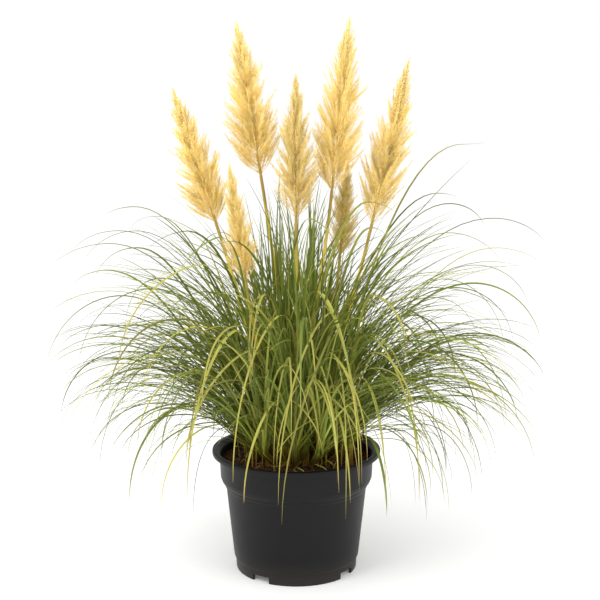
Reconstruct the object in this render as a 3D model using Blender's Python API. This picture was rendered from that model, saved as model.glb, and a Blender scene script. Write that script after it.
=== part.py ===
"""Potted pampas grass: tufts of arching leaves and seven feathery plumes in a round nursery pot.

Metres, +Z up. The origin is on the floor under the middle of the pot, and -Y is the front.
"""

import math
import random

import bmesh
import bpy
import numpy as np

SEED = 11
UP = np.array((0.0, 0.0, 1.0))
MESH_GAP = 0.0004

# The pot, a thin plastic one with a rolled lip, a tall collar and a notched foot ring
POT_HEIGHT = 0.240
LIP_RADIUS = 0.165
LIP_HEIGHT = 0.0085
LIP_TOP_WIDTH = 0.010
LIP_BEVEL = 0.0025
LIP_FOOT_BEVEL = (0.002, 0.0015)
COLLAR_TOP_RADIUS = 0.151
COLLAR_FOOT_RADIUS = 0.149
COLLAR_FOOT_HEIGHT = 0.186
COLLAR_UNDERCUT = (0.003, 0.008)
SHOULDER_HEIGHT = 0.168
SHOULDER_RADIUS = 0.138
SHOULDER_BEVEL = (0.002, 0.004)
BODY_FOOT_RADIUS = 0.1235
FOOT_RING_RADIUS = 0.1190
FOOT_RING_HEIGHT = 0.024
FOOT_RING_WIDTH = 0.005
FOOT_RING_STEP = 0.0012
FOOT_BEVEL = (0.001, 0.003)
BEND_HEIGHT = 0.003
POT_WALL = 0.0028
POT_SIDES = 32
PLATE_UNDERSIDE = 0.013
PLATE_TOP = 0.0155
NOTCH_COUNT = 4
NOTCH_WIDTH = 0.037
CUT_DEPTH = 0.010
FIRST_NOTCH_AZIMUTH = -35
DRAIN_RADIUS = 0.007
DRAIN_CIRCLE = 0.070

# The soil, flat where the clump stands and a little lower at the pot's wall
SOIL_HEIGHT = 0.222
SOIL_FLAT_RADIUS = 0.112
SOIL_EDGE_HEIGHT = 0.218
SOIL_BEVEL = (0.004, 0.002)

# The clump: a sunflower pattern of sites on the soil, one for each stem or tuft
CLUMP_RADIUS = 0.095
SITE_COUNT = 46
SHEATH_RADIUS = 0.0065
SHEATH_HEIGHT = 0.036
LEAF_FOOT_SHARE = 0.6
SHEATH_LEAN = math.radians(38)
LEAN_POWER = 1.5
STEM_RADIUS = 0.0038
STEM_TOP_SHARE = 0.80
STEM_RINGS = 6
STEM_FOOT_HANDLE = 0.30
STEM_TOP_HANDLE = 0.35

# A leaf is widest near its foot and narrows all the way to a point, over a keel that is deepest at the foot.
# The pairs are a share of the leaf's length and its width there, then the keel's depth against that width.
LEAF_HALF_WIDTH = 0.0030
LEAF_WIDTHS = ((0, 0.9), (0.15, 1), (0.55, 0.78), (0.85, 0.42), (1, 0.08))
LEAF_KEELS = ((0, 0.85), (0.30, 0.50), (1, 0.40))
LEAF_GAP = 0.0008
LEAVES_PER_TUFT = 3
LEAF_RINGS = (0.10, 0.40, 0.70, 0.96, 1.22, 1.48, 1.76, 2.00)
UPRIGHT_RINGS = (0.10, 0.32, 0.58, 0.80, 1.00)
TURN_SHARE = 0.30

# Where a given leaf grows: pairs of the height that it aims at and how far out its tuft stands.
# A metre of distance from that place counts as much as a turn of the leaf by the degrees below.
SITE_REACHES = ((0.30, 0.95), (0.50, 0.70), (0.80, 0.25))
DEGREES_PER_METRE = 3333
MOST_TURN = 95

# How the other leaves vary round the place of their tuft: low and wide outside, and upright in the middle
TRIES_PER_LEAF = 160
CELL_OFFSETS = (0, 62, -62)
OFFSET_SPREAD = 22
MIDDLE_TIER = 1.05
TIER_FALL = 0.85
TIER_SPREAD = 0.22
TIP_SPREAD = 5
SIZES = (0.86, 1.03)
RISES = (0.94, 1.04)
UPRIGHT_REACHES = (0.04, 0.15)
UPRIGHT_HEIGHTS = (0.66, 0.79)

# The curve of a leaf. Its tip hangs straight down where its far side drops this many times its run.
HANG_STEEPNESS = 1.2
HANG_HANDLE = 0.55
CROWN_HANDLE = 0.34
HANGING_CROWN_HANDLE = 0.20
UPRIGHT_CONTROL = (0.32, 0.32, 0.60)

# Reach and height of crown and tip for arching leaves, from the lowest to the highest
ARCH_TIERS = (
    (0.165, 0.300, 0.240, 0.155),
    (0.215, 0.345, 0.340, 0.175),
    (0.285, 0.435, 0.430, 0.285),
    (0.330, 0.560, 0.465, 0.430),
    (0.335, 0.655, 0.450, 0.600),
    (0.230, 0.740, 0.320, 0.725),
)

# Leaves that shape the outline: azimuth, reach and height of the crown, then of the tip.
# Azimuth 0 is to the right, -90 to the front and 180 to the left.
LEFT_LEAVES = (
    (172, 0.315, 0.710, 172, 0.375, 0.695),
    (152, 0.315, 0.680, 148, 0.410, 0.645),
    (188, 0.305, 0.673, 189, 0.405, 0.610),
    (178, 0.358, 0.642, 179, 0.488, 0.583),
    (160, 0.335, 0.620, 157, 0.460, 0.530),
    (168, 0.380, 0.580, 167, 0.478, 0.525),
    (186, 0.334, 0.548, 187, 0.480, 0.400),
    (170, 0.340, 0.420, 170, 0.485, 0.286),
    (183, 0.267, 0.423, 185, 0.398, 0.310),
    (192, 0.262, 0.395, 193, 0.383, 0.217),
    (190, 0.204, 0.339, 191, 0.328, 0.148),
    (166, 0.198, 0.311, 164, 0.321, 0.194),
    (200, 0.173, 0.300, 203, 0.277, 0.157),
    (213, 0.155, 0.305, 216, 0.237, 0.153),
    (205, 0.219, 0.613, 207, 0.359, 0.428),
    (200, 0.196, 0.495, 203, 0.306, 0.359),
    (208, 0.207, 0.417, 211, 0.323, 0.261),
)
RIGHT_LEAVES = (
    (-2, 0.382, 0.637, -3, 0.481, 0.595),
    (6, 0.347, 0.561, 5, 0.486, 0.437),
    (-12, 0.285, 0.584, -13, 0.399, 0.449),
    (-6, 0.348, 0.476, -7, 0.478, 0.392),
    (13, 0.359, 0.590, 14, 0.485, 0.503),
    (-16, 0.300, 0.478, -18, 0.411, 0.304),
    (-3, 0.302, 0.404, -4, 0.407, 0.266),
    (-19, 0.268, 0.390, -21, 0.359, 0.212),
    (-24, 0.229, 0.328, -26, 0.323, 0.204),
    (-31, 0.191, 0.311, -33, 0.288, 0.141),
    (-38, 0.174, 0.290, -42, 0.227, 0.151),
    (9, 0.322, 0.830, 9, 0.368, 0.833),
    (16, 0.311, 0.712, 17, 0.393, 0.667),
    (26, 0.312, 0.728, 28, 0.380, 0.711),
    (3, 0.380, 0.690, 1, 0.477, 0.647),
)
FRONT_LEAVES = (
    (-133, 0.163, 0.497, -131, 0.290, 0.287),
    (-116, 0.145, 0.472, -127, 0.324, 0.296),
    (-101, 0.163, 0.533, -108, 0.347, 0.277),
    (-123, 0.119, 0.559, -110, 0.235, 0.424),
    (-63, 0.168, 0.537, -94, 0.341, 0.205),
    (-111, 0.182, 0.322, -111, 0.257, 0.211),
    (-52, 0.191, 0.417, -54, 0.273, 0.205),
    (-38, 0.179, 0.488, -37, 0.283, 0.191),
    (-35, 0.175, 0.560, -39, 0.256, 0.466),
    (-74, 0.146, 0.575, -70, 0.320, 0.260),
    (-67, 0.162, 0.464, -72, 0.284, 0.190),
    (-77, 0.123, 0.452, -73, 0.251, 0.247),
    (-88, 0.330, 0.560, -89, 0.487, 0.430),
)
BACK_LEAVES = (
    (90, 0.340, 0.600, 91, 0.487, 0.480),
    (62, 0.330, 0.640, 60, 0.450, 0.560),
    (118, 0.330, 0.630, 121, 0.455, 0.540),
    (75, 0.280, 0.430, 74, 0.420, 0.290),
    (107, 0.270, 0.420, 109, 0.415, 0.270),
)
# The front hangs less than the other sides: how many tiers a leaf gains there, and how far round that goes
FRONT_AZIMUTH = -90
FRONT_LIFT = 0.42
FRONT_SPREAD = 75

# Straight leaves that stand in the middle: azimuth, reach and height of the tip
UPRIGHT_LEAVES = (
    (4, 0.340, 0.808),
    (60, 0.110, 0.770),
    (110, 0.085, 0.790),
    (150, 0.120, 0.745),
    (80, 0.140, 0.735),
)

# Plumes: foot and tip of the plume, its width, and where its stem leaves the soil
PLUMES = {
    "left": ((-0.154, 0.010, 0.684), (-0.233, 0.010, 0.937), 0.104, (-0.052, 0.000)),
    "left_tall": ((-0.068, 0.030, 0.773), (-0.113, 0.030, 1.063), 0.110, (-0.024, 0.020)),
    "front_small": ((-0.093, -0.090, 0.586), (-0.122, -0.090, 0.805), 0.070, (-0.040, -0.045)),
    "middle": ((0.000, -0.030, 0.696), (0.000, -0.030, 0.966), 0.090, (0.005, -0.020)),
    "right_tall": ((0.068, 0.000, 0.746), (0.100, 0.000, 1.071), 0.106, (0.026, 0.000)),
    "right": ((0.145, 0.010, 0.681), (0.213, 0.010, 0.994), 0.096, (0.055, 0.000)),
    "back_small": ((0.087, 0.090, 0.610), (0.102, 0.100, 0.800), 0.066, (0.040, 0.045)),
}
PLUME_FOOT_GAP = 0.0006
PLUME_SIDES = 8
PLUME_LEVELS = (0.00, 0.07, 0.17, 0.29, 0.42, 0.56, 0.70, 0.83)
PLUME_WIDTHS = (
    (0, 0.10),
    (0.06, 0.45),
    (0.16, 0.85),
    (0.30, 1),
    (0.45, 0.92),
    (0.65, 0.66),
    (0.85, 0.32),
    (1, 0.02),
)
PLUME_CORE = 0.60
PLUME_TWIST = 0.35
LOCK_RISE = 0.17
TOP_LOCK_RISE = 0.09
LOCK_RISES = (0.80, 1.15)
LOCK_REACHES = (0.92, 1.08)
LOCK_SWAY = 0.2
PLUME_RODS = 14

MATERIALS = {
    "pot_plastic": ((0.026, 0.027, 0.030), 0.42),
    "soil": ((0.030, 0.016, 0.009), 0.95),
    "green_leaf": ((0.130, 0.220, 0.045), 0.55),
    "stem": ((0.420, 0.400, 0.060), 0.50),
    "plume": ((0.780, 0.520, 0.180), 0.90),
}


def clear_scene():
    for thing in list(bpy.data.objects):
        bpy.data.objects.remove(thing, do_unlink=True)


def material(name):
    """The named material, made at its first use."""
    if name in bpy.data.materials:
        return bpy.data.materials[name]
    colour, roughness = MATERIALS[name]
    made = bpy.data.materials.new(name)
    made.use_nodes = True
    shader = made.node_tree.nodes["Principled BSDF"]
    shader.inputs["Base Color"].default_value = (*colour, 1)
    shader.inputs["Roughness"].default_value = roughness
    shader.inputs["Metallic"].default_value = 0
    return made


def add_object(name, data, material_name=None):
    thing = bpy.data.objects.new(name, data)
    bpy.context.scene.collection.objects.link(thing)
    if material_name:
        data.materials.append(material(material_name))
    return thing


def add_mesh(name, points, faces, material_name):
    """A mesh object whose faces are lists of point numbers, facing out."""
    mesh = bpy.data.meshes.new(name)
    mesh.from_pydata([tuple(map(float, p)) for p in points], [], faces)
    return add_object(name, mesh, material_name)


def turned(name, outline, material_name):
    """A solid of revolution about Z, from an outline of radius and height that ends on the axis."""
    mesh = bpy.data.meshes.new(name)
    edges = [(i, i + 1) for i in range(len(outline) - 1)]
    mesh.from_pydata([(radius, 0, height) for radius, height in outline], edges, [])
    thing = add_object(name, mesh, material_name)
    screw = thing.modifiers.new("turn", "SCREW")
    screw.steps = screw.render_steps = POT_SIDES
    screw.use_merge_vertices = True
    screw.merge_threshold = 0.0001
    return thing


def add_cutter(name, build):
    """A hidden mesh to cut with, made by a function that fills a bmesh."""
    cutter_mesh = bmesh.new()
    build(cutter_mesh)
    data = bpy.data.meshes.new(name)
    cutter_mesh.to_mesh(data)
    cutter_mesh.free()
    cutter = add_object(name, data)
    cutter.hide_render = True
    cutter.display_type = "WIRE"
    return cutter


def cut(thing, cutter):
    boolean = thing.modifiers.new(cutter.name, "BOOLEAN")
    boolean.operation = "DIFFERENCE"
    boolean.solver = "EXACT"
    boolean.object = cutter


def pot_inner_wall():
    """Radius and height of the pot's inside, from the bottom plate to the top of the collar."""
    return [
        (FOOT_RING_RADIUS - POT_WALL, PLATE_TOP),
        (BODY_FOOT_RADIUS - POT_WALL, FOOT_RING_HEIGHT + 0.004),
        (SHOULDER_RADIUS - POT_WALL, SHOULDER_HEIGHT),
        (COLLAR_FOOT_RADIUS - POT_WALL, COLLAR_FOOT_HEIGHT + 0.002),
        (COLLAR_TOP_RADIUS - POT_WALL, POT_HEIGHT - LIP_HEIGHT),
    ]


def pot_outline():
    lip_foot = POT_HEIGHT - LIP_HEIGHT
    ring_inside = FOOT_RING_RADIUS - FOOT_RING_WIDTH
    inside = [(0, PLATE_TOP), *pot_inner_wall()]
    lip = [
        (LIP_RADIUS - LIP_TOP_WIDTH, POT_HEIGHT),
        (LIP_RADIUS - LIP_BEVEL, POT_HEIGHT),
        (LIP_RADIUS, POT_HEIGHT - LIP_BEVEL),
        (LIP_RADIUS, lip_foot + LIP_FOOT_BEVEL[1]),
        (LIP_RADIUS - LIP_FOOT_BEVEL[0], lip_foot),
    ]
    outside = [
        (COLLAR_TOP_RADIUS, lip_foot - 0.001),
        (COLLAR_FOOT_RADIUS, COLLAR_FOOT_HEIGHT),
        (COLLAR_FOOT_RADIUS - COLLAR_UNDERCUT[0], COLLAR_FOOT_HEIGHT - COLLAR_UNDERCUT[1]),
        (SHOULDER_RADIUS + SHOULDER_BEVEL[0], SHOULDER_HEIGHT + SHOULDER_BEVEL[1]),
        (SHOULDER_RADIUS, SHOULDER_HEIGHT - BEND_HEIGHT),
        (BODY_FOOT_RADIUS, FOOT_RING_HEIGHT + BEND_HEIGHT),
        (FOOT_RING_RADIUS + FOOT_RING_STEP, FOOT_RING_HEIGHT),
        (FOOT_RING_RADIUS, FOOT_BEVEL[1]),
        (FOOT_RING_RADIUS - FOOT_BEVEL[0], 0),
    ]
    underside = [(ring_inside, 0), (ring_inside, PLATE_UNDERSIDE), (0, PLATE_UNDERSIDE)]
    return inside + lip + outside + underside


def foot_notches(cutter_mesh):
    """Blocks across the foot ring, from below the floor to the underside of the bottom plate."""
    inner = FOOT_RING_RADIUS - 3 * FOOT_RING_WIDTH
    outer = FOOT_RING_RADIUS + 2 * FOOT_RING_WIDTH
    low = -CUT_DEPTH
    for notch in range(NOTCH_COUNT):
        azimuth = math.radians(FIRST_NOTCH_AZIMUTH + notch * 360 / NOTCH_COUNT)
        block = bmesh.ops.create_cube(cutter_mesh, size=1)["verts"]
        bmesh.ops.scale(cutter_mesh, vec=(outer - inner, NOTCH_WIDTH, PLATE_UNDERSIDE - low), verts=block)
        middle = ((outer + inner) / 2, 0, (PLATE_UNDERSIDE + low) / 2)
        bmesh.ops.translate(cutter_mesh, vec=middle, verts=block)
        turn = np.array(
            (
                (math.cos(azimuth), -math.sin(azimuth), 0),
                (math.sin(azimuth), math.cos(azimuth), 0),
                (0, 0, 1),
            )
        )
        for vertex in block:
            vertex.co = turn @ np.array(vertex.co)


def drain_holes(cutter_mesh):
    """Short rods through the bottom plate, one behind each notch."""
    for notch in range(NOTCH_COUNT):
        azimuth = math.radians(FIRST_NOTCH_AZIMUTH + notch * 360 / NOTCH_COUNT)
        rod = bmesh.ops.create_cone(
            cutter_mesh,
            cap_ends=True,
            segments=8,
            radius1=DRAIN_RADIUS,
            radius2=DRAIN_RADIUS,
            depth=CUT_DEPTH,
        )["verts"]
        middle = (DRAIN_CIRCLE * math.cos(azimuth), DRAIN_CIRCLE * math.sin(azimuth), PLATE_TOP)
        bmesh.ops.translate(cutter_mesh, vec=middle, verts=rod)


def build_pot():
    pot = turned("pot", pot_outline(), "pot_plastic")
    cut(pot, add_cutter("foot_notches", foot_notches))
    cut(pot, add_cutter("drain_holes", drain_holes))


def build_soil():
    """The soil fills the pot's inside up to its own height, a small gap clear of the wall."""
    wall = [(radius - MESH_GAP, height) for radius, height in pot_inner_wall()]
    below = [point for point in wall[1:] if point[1] < SOIL_EDGE_HEIGHT]
    edge_radius = np.interp(SOIL_EDGE_HEIGHT, [z for _, z in wall], [r for r, _ in wall])
    foot = PLATE_TOP + MESH_GAP
    outline = [
        (0, SOIL_HEIGHT),
        (SOIL_FLAT_RADIUS, SOIL_HEIGHT),
        (edge_radius - SOIL_BEVEL[0], SOIL_EDGE_HEIGHT + SOIL_BEVEL[1]),
        (edge_radius, SOIL_EDGE_HEIGHT),
        *reversed(below),
        (wall[0][0], foot),
        (0, foot),
    ]
    turned("soil", outline, "soil")


def polar(azimuth, reach, height):
    angle = math.radians(azimuth)
    return np.array((reach * math.cos(angle), reach * math.sin(angle), height))


def unit(vector):
    return vector / np.linalg.norm(vector)


def level(vector):
    """The unit vector of its horizontal part."""
    return unit(vector * (1, 1, 0))


def profile(pairs, where):
    """The value at a place, between pairs of place and value."""
    return np.interp(where, *zip(*pairs))


def clump_sites():
    """Points of a sunflower pattern on the soil, from the middle out."""
    golden_angle = 180 * (3 - math.sqrt(5))
    return [
        polar(i * golden_angle, CLUMP_RADIUS * math.sqrt((i + 0.5) / SITE_COUNT), SOIL_HEIGHT + MESH_GAP)
        for i in range(SITE_COUNT)
    ]


def bezier(start, start_handle, end_handle, end, t):
    s = 1 - t
    return s**3 * start + 3 * s * s * t * start_handle + 3 * s * t * t * end_handle + t**3 * end


def arch_point(base, crown, tip, t):
    """A point of an arching leaf: t from 0 to 1 rises to the crown, and from 1 to 2 goes over to the tip."""
    over = level(level(crown - base) + level(tip - crown))
    if t <= 1:
        rise = crown - over * np.linalg.norm((crown - base)[:2]) / 2
        return bezier(base, base + (rise - base) * 2 / 3, crown + (rise - crown) * 2 / 3, crown, t)
    run = np.linalg.norm((tip - crown)[:2])
    drop = crown[2] - tip[2]
    hang = min(1, drop / (HANG_STEEPNESS * run))
    parabola_handle = crown + over * run / 2
    hanging_handle = tip + UP * HANG_HANDLE * drop
    end_handle = (1 - hang) * (tip + (parabola_handle - tip) * 2 / 3) + hang * hanging_handle
    crown_handle = crown + over * run * (CROWN_HANDLE + HANGING_CROWN_HANDLE * hang)
    return bezier(crown, crown_handle, end_handle, tip, t - 1)


def upright_point(base, tip, t):
    """A point of a leaf that stands and bends only a little: t from 0 to 1."""
    rise = base + (tip - base) * UPRIGHT_CONTROL
    return bezier(base, base + (rise - base) * 2 / 3, tip + (rise - tip) * 2 / 3, tip, t)


class Rods:
    """A chain of straight rods with round ends, each as thick as the thicker of its two ends."""

    def __init__(self, points, half_widths):
        self.points = np.asarray(points)
        self.point_widths = np.asarray(half_widths)
        self.starts = self.points[:-1]
        self.runs = self.points[1:] - self.points[:-1]
        self.half_widths = np.maximum(self.point_widths[:-1], self.point_widths[1:])

    def without_first(self):
        return Rods(self.points[1:], self.point_widths[1:])

    def touch(self, other, gap):
        """Whether any two rods of the chains come nearer than the gap, by the closest points of each pair."""
        starts, runs = self.starts[:, None], self.runs[:, None]
        between = starts - other.starts[None]
        own = (runs * runs).sum(2)
        others = (other.runs * other.runs).sum(1)[None]
        cross = (runs * other.runs[None]).sum(2)
        own_lead = (runs * between).sum(2)
        other_lead = (other.runs[None] * between).sum(2)
        spread = np.maximum(own * others - cross * cross, 1e-15)
        s = np.clip((cross * other_lead - own_lead * others) / spread, 0, 1)
        t = np.clip((cross * s + other_lead) / others, 0, 1)
        s = np.clip((cross * t - own_lead) / own, 0, 1)
        apart = np.linalg.norm(between + s[..., None] * runs - t[..., None] * other.runs[None], axis=2)
        return bool((apart < self.half_widths[:, None] + other.half_widths[None] + gap).any())


class Leaf:
    """One leaf's line from the sheath to its tip, as the points where its mesh has a ring."""

    def __init__(self, base, azimuth, crown, tip):
        self.base, self.crown, self.tip = base, crown, tip
        rings = UPRIGHT_RINGS if crown is None else LEAF_RINGS
        self.points = np.array([self.point(t) for t in (0, *rings)])
        steps = np.linalg.norm(np.diff(self.points, axis=0), axis=1)
        self.along = np.concatenate(([0], np.cumsum(steps))) / steps.sum()
        self.base_heading = polar(azimuth, 1, 0)
        self.heading = level((tip if crown is None else crown) - base)
        self.end_heading = self.heading if crown is None else level(tip - crown)

    def point(self, t):
        if self.crown is None:
            return upright_point(self.base, self.tip, t)
        return arch_point(self.base, self.crown, self.tip, t)

    def half_width(self, along):
        return LEAF_HALF_WIDTH * profile(LEAF_WIDTHS, along)

    def keel(self, along):
        return self.half_width(along) * profile(LEAF_KEELS, along)

    def heading_at(self, along):
        """The level direction that the leaf leans in. It turns gradually from the sheath to the tip."""
        if along < TURN_SHARE:
            share = along / TURN_SHARE
            return level((1 - share) * self.base_heading + share * self.heading)
        share = (along - TURN_SHARE) / (1 - TURN_SHARE)
        return level((1 - share) * self.heading + share * self.end_heading)

    def rods(self):
        return Rods(self.points, self.half_width(self.along))


class Tuft:
    """A leaning sheath with up to three leaves, which each grow from two sides of its six-sided top."""

    def __init__(self, site):
        out = site * (1, 1, 0)
        share = np.linalg.norm(out) / CLUMP_RADIUS
        self.site = site
        self.out_azimuth = math.degrees(math.atan2(out[1], out[0]))
        lean = SHEATH_LEAN * share**LEAN_POWER
        self.top = site + SHEATH_HEIGHT * (UP + level(out) * math.tan(lean))
        self.share = share
        self.leaves = [None] * LEAVES_PER_TUFT

    def cell_azimuth(self, cell):
        return self.out_azimuth + cell * 360 / LEAVES_PER_TUFT

    def leaf(self, cell, crown, tip):
        azimuth = self.cell_azimuth(cell)
        return Leaf(self.top + polar(azimuth, SHEATH_RADIUS * LEAF_FOOT_SHARE, 0), azimuth, crown, tip)

    def sheath_rod(self):
        return Rods((self.site, self.top), (SHEATH_RADIUS, SHEATH_RADIUS))


def turn_between(a, b):
    """The angle between two azimuths in degrees, from 0 to 180."""
    return abs((a - b + 180) % 360 - 180)


class Clump:
    """The tufts and stems, with the rods that every new leaf must stay clear of."""

    def __init__(self, stems):
        sites = clump_sites()
        self.stem_sites = {}
        for name, wanted in stems.items():
            nearest = min(range(len(sites)), key=lambda i: math.dist(sites[i][:2], wanted))
            self.stem_sites[name] = sites.pop(nearest)
        self.tufts = [Tuft(site) for site in sites]
        self.taken = [(tuft, tuft.sheath_rod()) for tuft in self.tufts]

    def is_clear(self, tuft, leaf):
        """Whether the leaf touches nothing that grows already, except its own tuft with its first rod."""
        rods = leaf.rods()
        free_rods = rods.without_first()
        for owner, other in self.taken:
            tested = free_rods if owner is tuft else rods
            if tested.touch(other, LEAF_GAP):
                return False
        return True

    def add_leaf(self, tuft, cell, leaf):
        tuft.leaves[cell] = leaf
        self.taken.append((tuft, leaf.rods()))

    def place(self, crown, tip):
        """Grows a given leaf from the free place that suits it best, among those where it is clear."""
        aim = tip if crown is None else crown
        azimuth = math.degrees(math.atan2(aim[1], aim[0]))
        wanted = polar(azimuth, CLUMP_RADIUS * float(profile(SITE_REACHES, aim[2])), SOIL_HEIGHT)
        choices = []
        for tuft in self.tufts:
            for cell, leaf in enumerate(tuft.leaves):
                turn = turn_between(tuft.cell_azimuth(cell), azimuth)
                if leaf is None and turn < MOST_TURN:
                    cost = math.dist(tuft.site[:2], wanted[:2]) + turn / DEGREES_PER_METRE
                    choices.append((cost, tuft.out_azimuth, tuft, cell))
        for _, _, tuft, cell in sorted(choices, key=lambda choice: choice[:2]):
            leaf = tuft.leaf(cell, crown, tip)
            if self.is_clear(tuft, leaf):
                self.add_leaf(tuft, cell, leaf)
                return
        raise ValueError(f"no clear place for the leaf with its tip at {tip}")


def front_lift(azimuth):
    """How many tiers a leaf of this azimuth gains."""
    return FRONT_LIFT * max(0, 1 - turn_between(azimuth, FRONT_AZIMUTH) / FRONT_SPREAD)


def random_leaf(tuft, cell, dice):
    """A leaf for one of the tuft's places, whose height and reach suit where the tuft stands."""
    azimuth = tuft.out_azimuth + CELL_OFFSETS[cell] + dice.uniform(-OFFSET_SPREAD, OFFSET_SPREAD)
    tier = MIDDLE_TIER - TIER_FALL * tuft.share + front_lift(azimuth)
    tier += dice.uniform(-TIER_SPREAD, TIER_SPREAD)
    if tier > 1:
        tip = polar(azimuth, dice.uniform(*UPRIGHT_REACHES), dice.uniform(*UPRIGHT_HEIGHTS))
        return tuft.leaf(cell, None, tip)
    columns = zip(*ARCH_TIERS)
    steps = np.linspace(0, 1, len(ARCH_TIERS))
    crown_reach, crown_height, tip_reach, tip_height = (np.interp(tier, steps, c) for c in columns)
    size = dice.uniform(*SIZES)
    rise = dice.uniform(*RISES)
    crown = polar(azimuth, crown_reach * size, crown_height * rise)
    tip = polar(azimuth + dice.uniform(-TIP_SPREAD, TIP_SPREAD), tip_reach * size, tip_height * rise)
    return tuft.leaf(cell, crown, tip)


def grow_clump(stems):
    """Places the outline's leaves first, then fills the other places with random ones that are clear."""
    dice = random.Random(SEED)
    clump = Clump({name: foot for name, (_, _, _, foot) in stems.items()})
    for name, (plume_foot, plume_tip, width, _) in stems.items():
        line = stem_line(clump.stem_sites[name], plume_foot, plume_tip)
        clump.taken.append((name, Rods(line, np.full(len(line), STEM_RADIUS))))
        along = np.linspace(0, 1, PLUME_RODS)
        axis = np.linspace(plume_foot, plume_tip, PLUME_RODS)
        clump.taken.append((name, Rods(axis, width / 2 * plume_shape(along))))
    for leaves in (FRONT_LEAVES, LEFT_LEAVES, RIGHT_LEAVES, BACK_LEAVES):
        for leaf in leaves:
            clump.place(polar(*leaf[:3]), polar(*leaf[3:]))
    for leaf in UPRIGHT_LEAVES:
        clump.place(None, polar(*leaf))
    for tuft in clump.tufts:
        for cell in range(LEAVES_PER_TUFT):
            for _ in range(TRIES_PER_LEAF):
                if tuft.leaves[cell] is not None:
                    break
                leaf = random_leaf(tuft, cell, dice)
                if clump.is_clear(tuft, leaf):
                    clump.add_leaf(tuft, cell, leaf)
    return clump


def leaf_ring(leaf, index):
    """The left edge, keel and right edge of a leaf at one of its points."""
    before = leaf.points[index - 1]
    after = leaf.points[min(index + 1, len(leaf.points) - 1)]
    ahead = unit(after - before)
    along = leaf.along[index]
    across = np.cross(UP, leaf.heading_at(along))
    across = unit(across - ahead * (across @ ahead))
    upper_side = np.cross(ahead, across)
    half = leaf.half_width(along)
    centre = leaf.points[index]
    return [centre - across * half, centre - upper_side * leaf.keel(along), centre + across * half]


def outer_split(points, quad):
    """Two triangles for a twisted quad, which meet on whichever diagonal makes the solid larger."""
    a, b, c, d = quad
    corner_volume = np.dot(np.cross(points[b] - points[a], points[c] - points[a]), points[d] - points[a])
    if corner_volume > 0:
        return [[a, b, d], [b, c, d]]
    return [[a, b, c], [a, c, d]]


def build_tuft(name, tuft, material_name):
    corners = 2 * LEAVES_PER_TUFT
    points = []
    for centre in (tuft.site, tuft.top):
        for corner in range(corners):
            azimuth = tuft.out_azimuth + (corner - 1) * 360 / corners
            points.append(centre + polar(azimuth, SHEATH_RADIUS, 0))
    faces = [list(reversed(range(corners)))]
    for corner in range(corners):
        following = (corner + 1) % corners
        faces += outer_split(points, [corner, following, corners + following, corners + corner])
    faces.append([corners, corners + 2, corners + 4])
    for cell, leaf in enumerate(tuft.leaves):
        first = corners + 2 * cell
        ring = [first, first + 1, corners + (2 * cell + 2) % corners]
        if leaf is None:
            faces.append(ring)
            continue
        for index in range(1, len(leaf.points) - 1):
            start = len(points)
            points += leaf_ring(leaf, index)
            for side in range(3):
                following = (side + 1) % 3
                faces += outer_split(points, [ring[side], ring[following], start + following, start + side])
            ring = [start, start + 1, start + 2]
        points.append(leaf.points[-1])
        for side in range(3):
            faces.append([ring[side], ring[(side + 1) % 3], len(points) - 1])
    add_mesh(name, points, faces, material_name)


def stem_handles(site, plume_foot, plume_tip):
    """The Bezier points of a stem: straight up from the soil, and in line with its plume at the top."""
    axis = unit(np.subtract(plume_tip, plume_foot))
    top = np.array(plume_foot) - axis * PLUME_FOOT_GAP
    reach = np.linalg.norm(top - site)
    return site, site + UP * reach * STEM_FOOT_HANDLE, top - axis * reach * STEM_TOP_HANDLE, top


def stem_line(site, plume_foot, plume_tip):
    handles = stem_handles(site, plume_foot, plume_tip)
    return np.array([bezier(*handles, t) for t in np.linspace(0, 1, STEM_RINGS + 1)])


def build_stem(name, site, plume_foot, plume_tip):
    foot, foot_handle, top_handle, top = stem_handles(site, plume_foot, plume_tip)
    curve = bpy.data.curves.new(name, "CURVE")
    curve.dimensions = "3D"
    curve.bevel_depth = STEM_RADIUS
    curve.bevel_resolution = 1
    curve.use_fill_caps = True
    curve.resolution_u = STEM_RINGS
    spline = curve.splines.new("BEZIER")
    spline.bezier_points.add(1)
    knots = ((foot, foot, foot_handle, 1.0), (top, top_handle, top, STEM_TOP_SHARE))
    for knot, (place, left, right, radius) in zip(spline.bezier_points, knots):
        knot.handle_left_type = knot.handle_right_type = "FREE"
        knot.co = place
        knot.handle_left = left
        knot.handle_right = right
        knot.radius = radius
    spline.bezier_points[0].handle_left = foot - UP * 0.01
    spline.bezier_points[1].handle_right = top + (top - top_handle) * 0.1
    add_object(name, curve, "stem")


def plume_shape(v):
    """How wide a plume is at share v of its length, against its widest."""
    return profile(PLUME_WIDTHS, v)


def plume_locks(width, dice):
    """The locks of a plume from its foot up: each one's height, then the height, angle and reach of its tip."""
    locks = []
    for number, levels in enumerate(zip(PLUME_LEVELS, PLUME_LEVELS[1:])):
        middle_v = sum(levels) / 2
        for i in range(PLUME_SIDES):
            rise = LOCK_RISE + (TOP_LOCK_RISE - LOCK_RISE) * middle_v / PLUME_LEVELS[-1]
            tip_v = middle_v + rise * dice.uniform(*LOCK_RISES)
            turn = PLUME_TWIST * (number + 0.5) + i + 0.5 + dice.uniform(-LOCK_SWAY, LOCK_SWAY)
            reach = width / 2 * plume_shape(tip_v) * dice.uniform(*LOCK_REACHES)
            locks.append((middle_v, tip_v, turn * math.tau / PLUME_SIDES, reach))
    return locks


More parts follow.
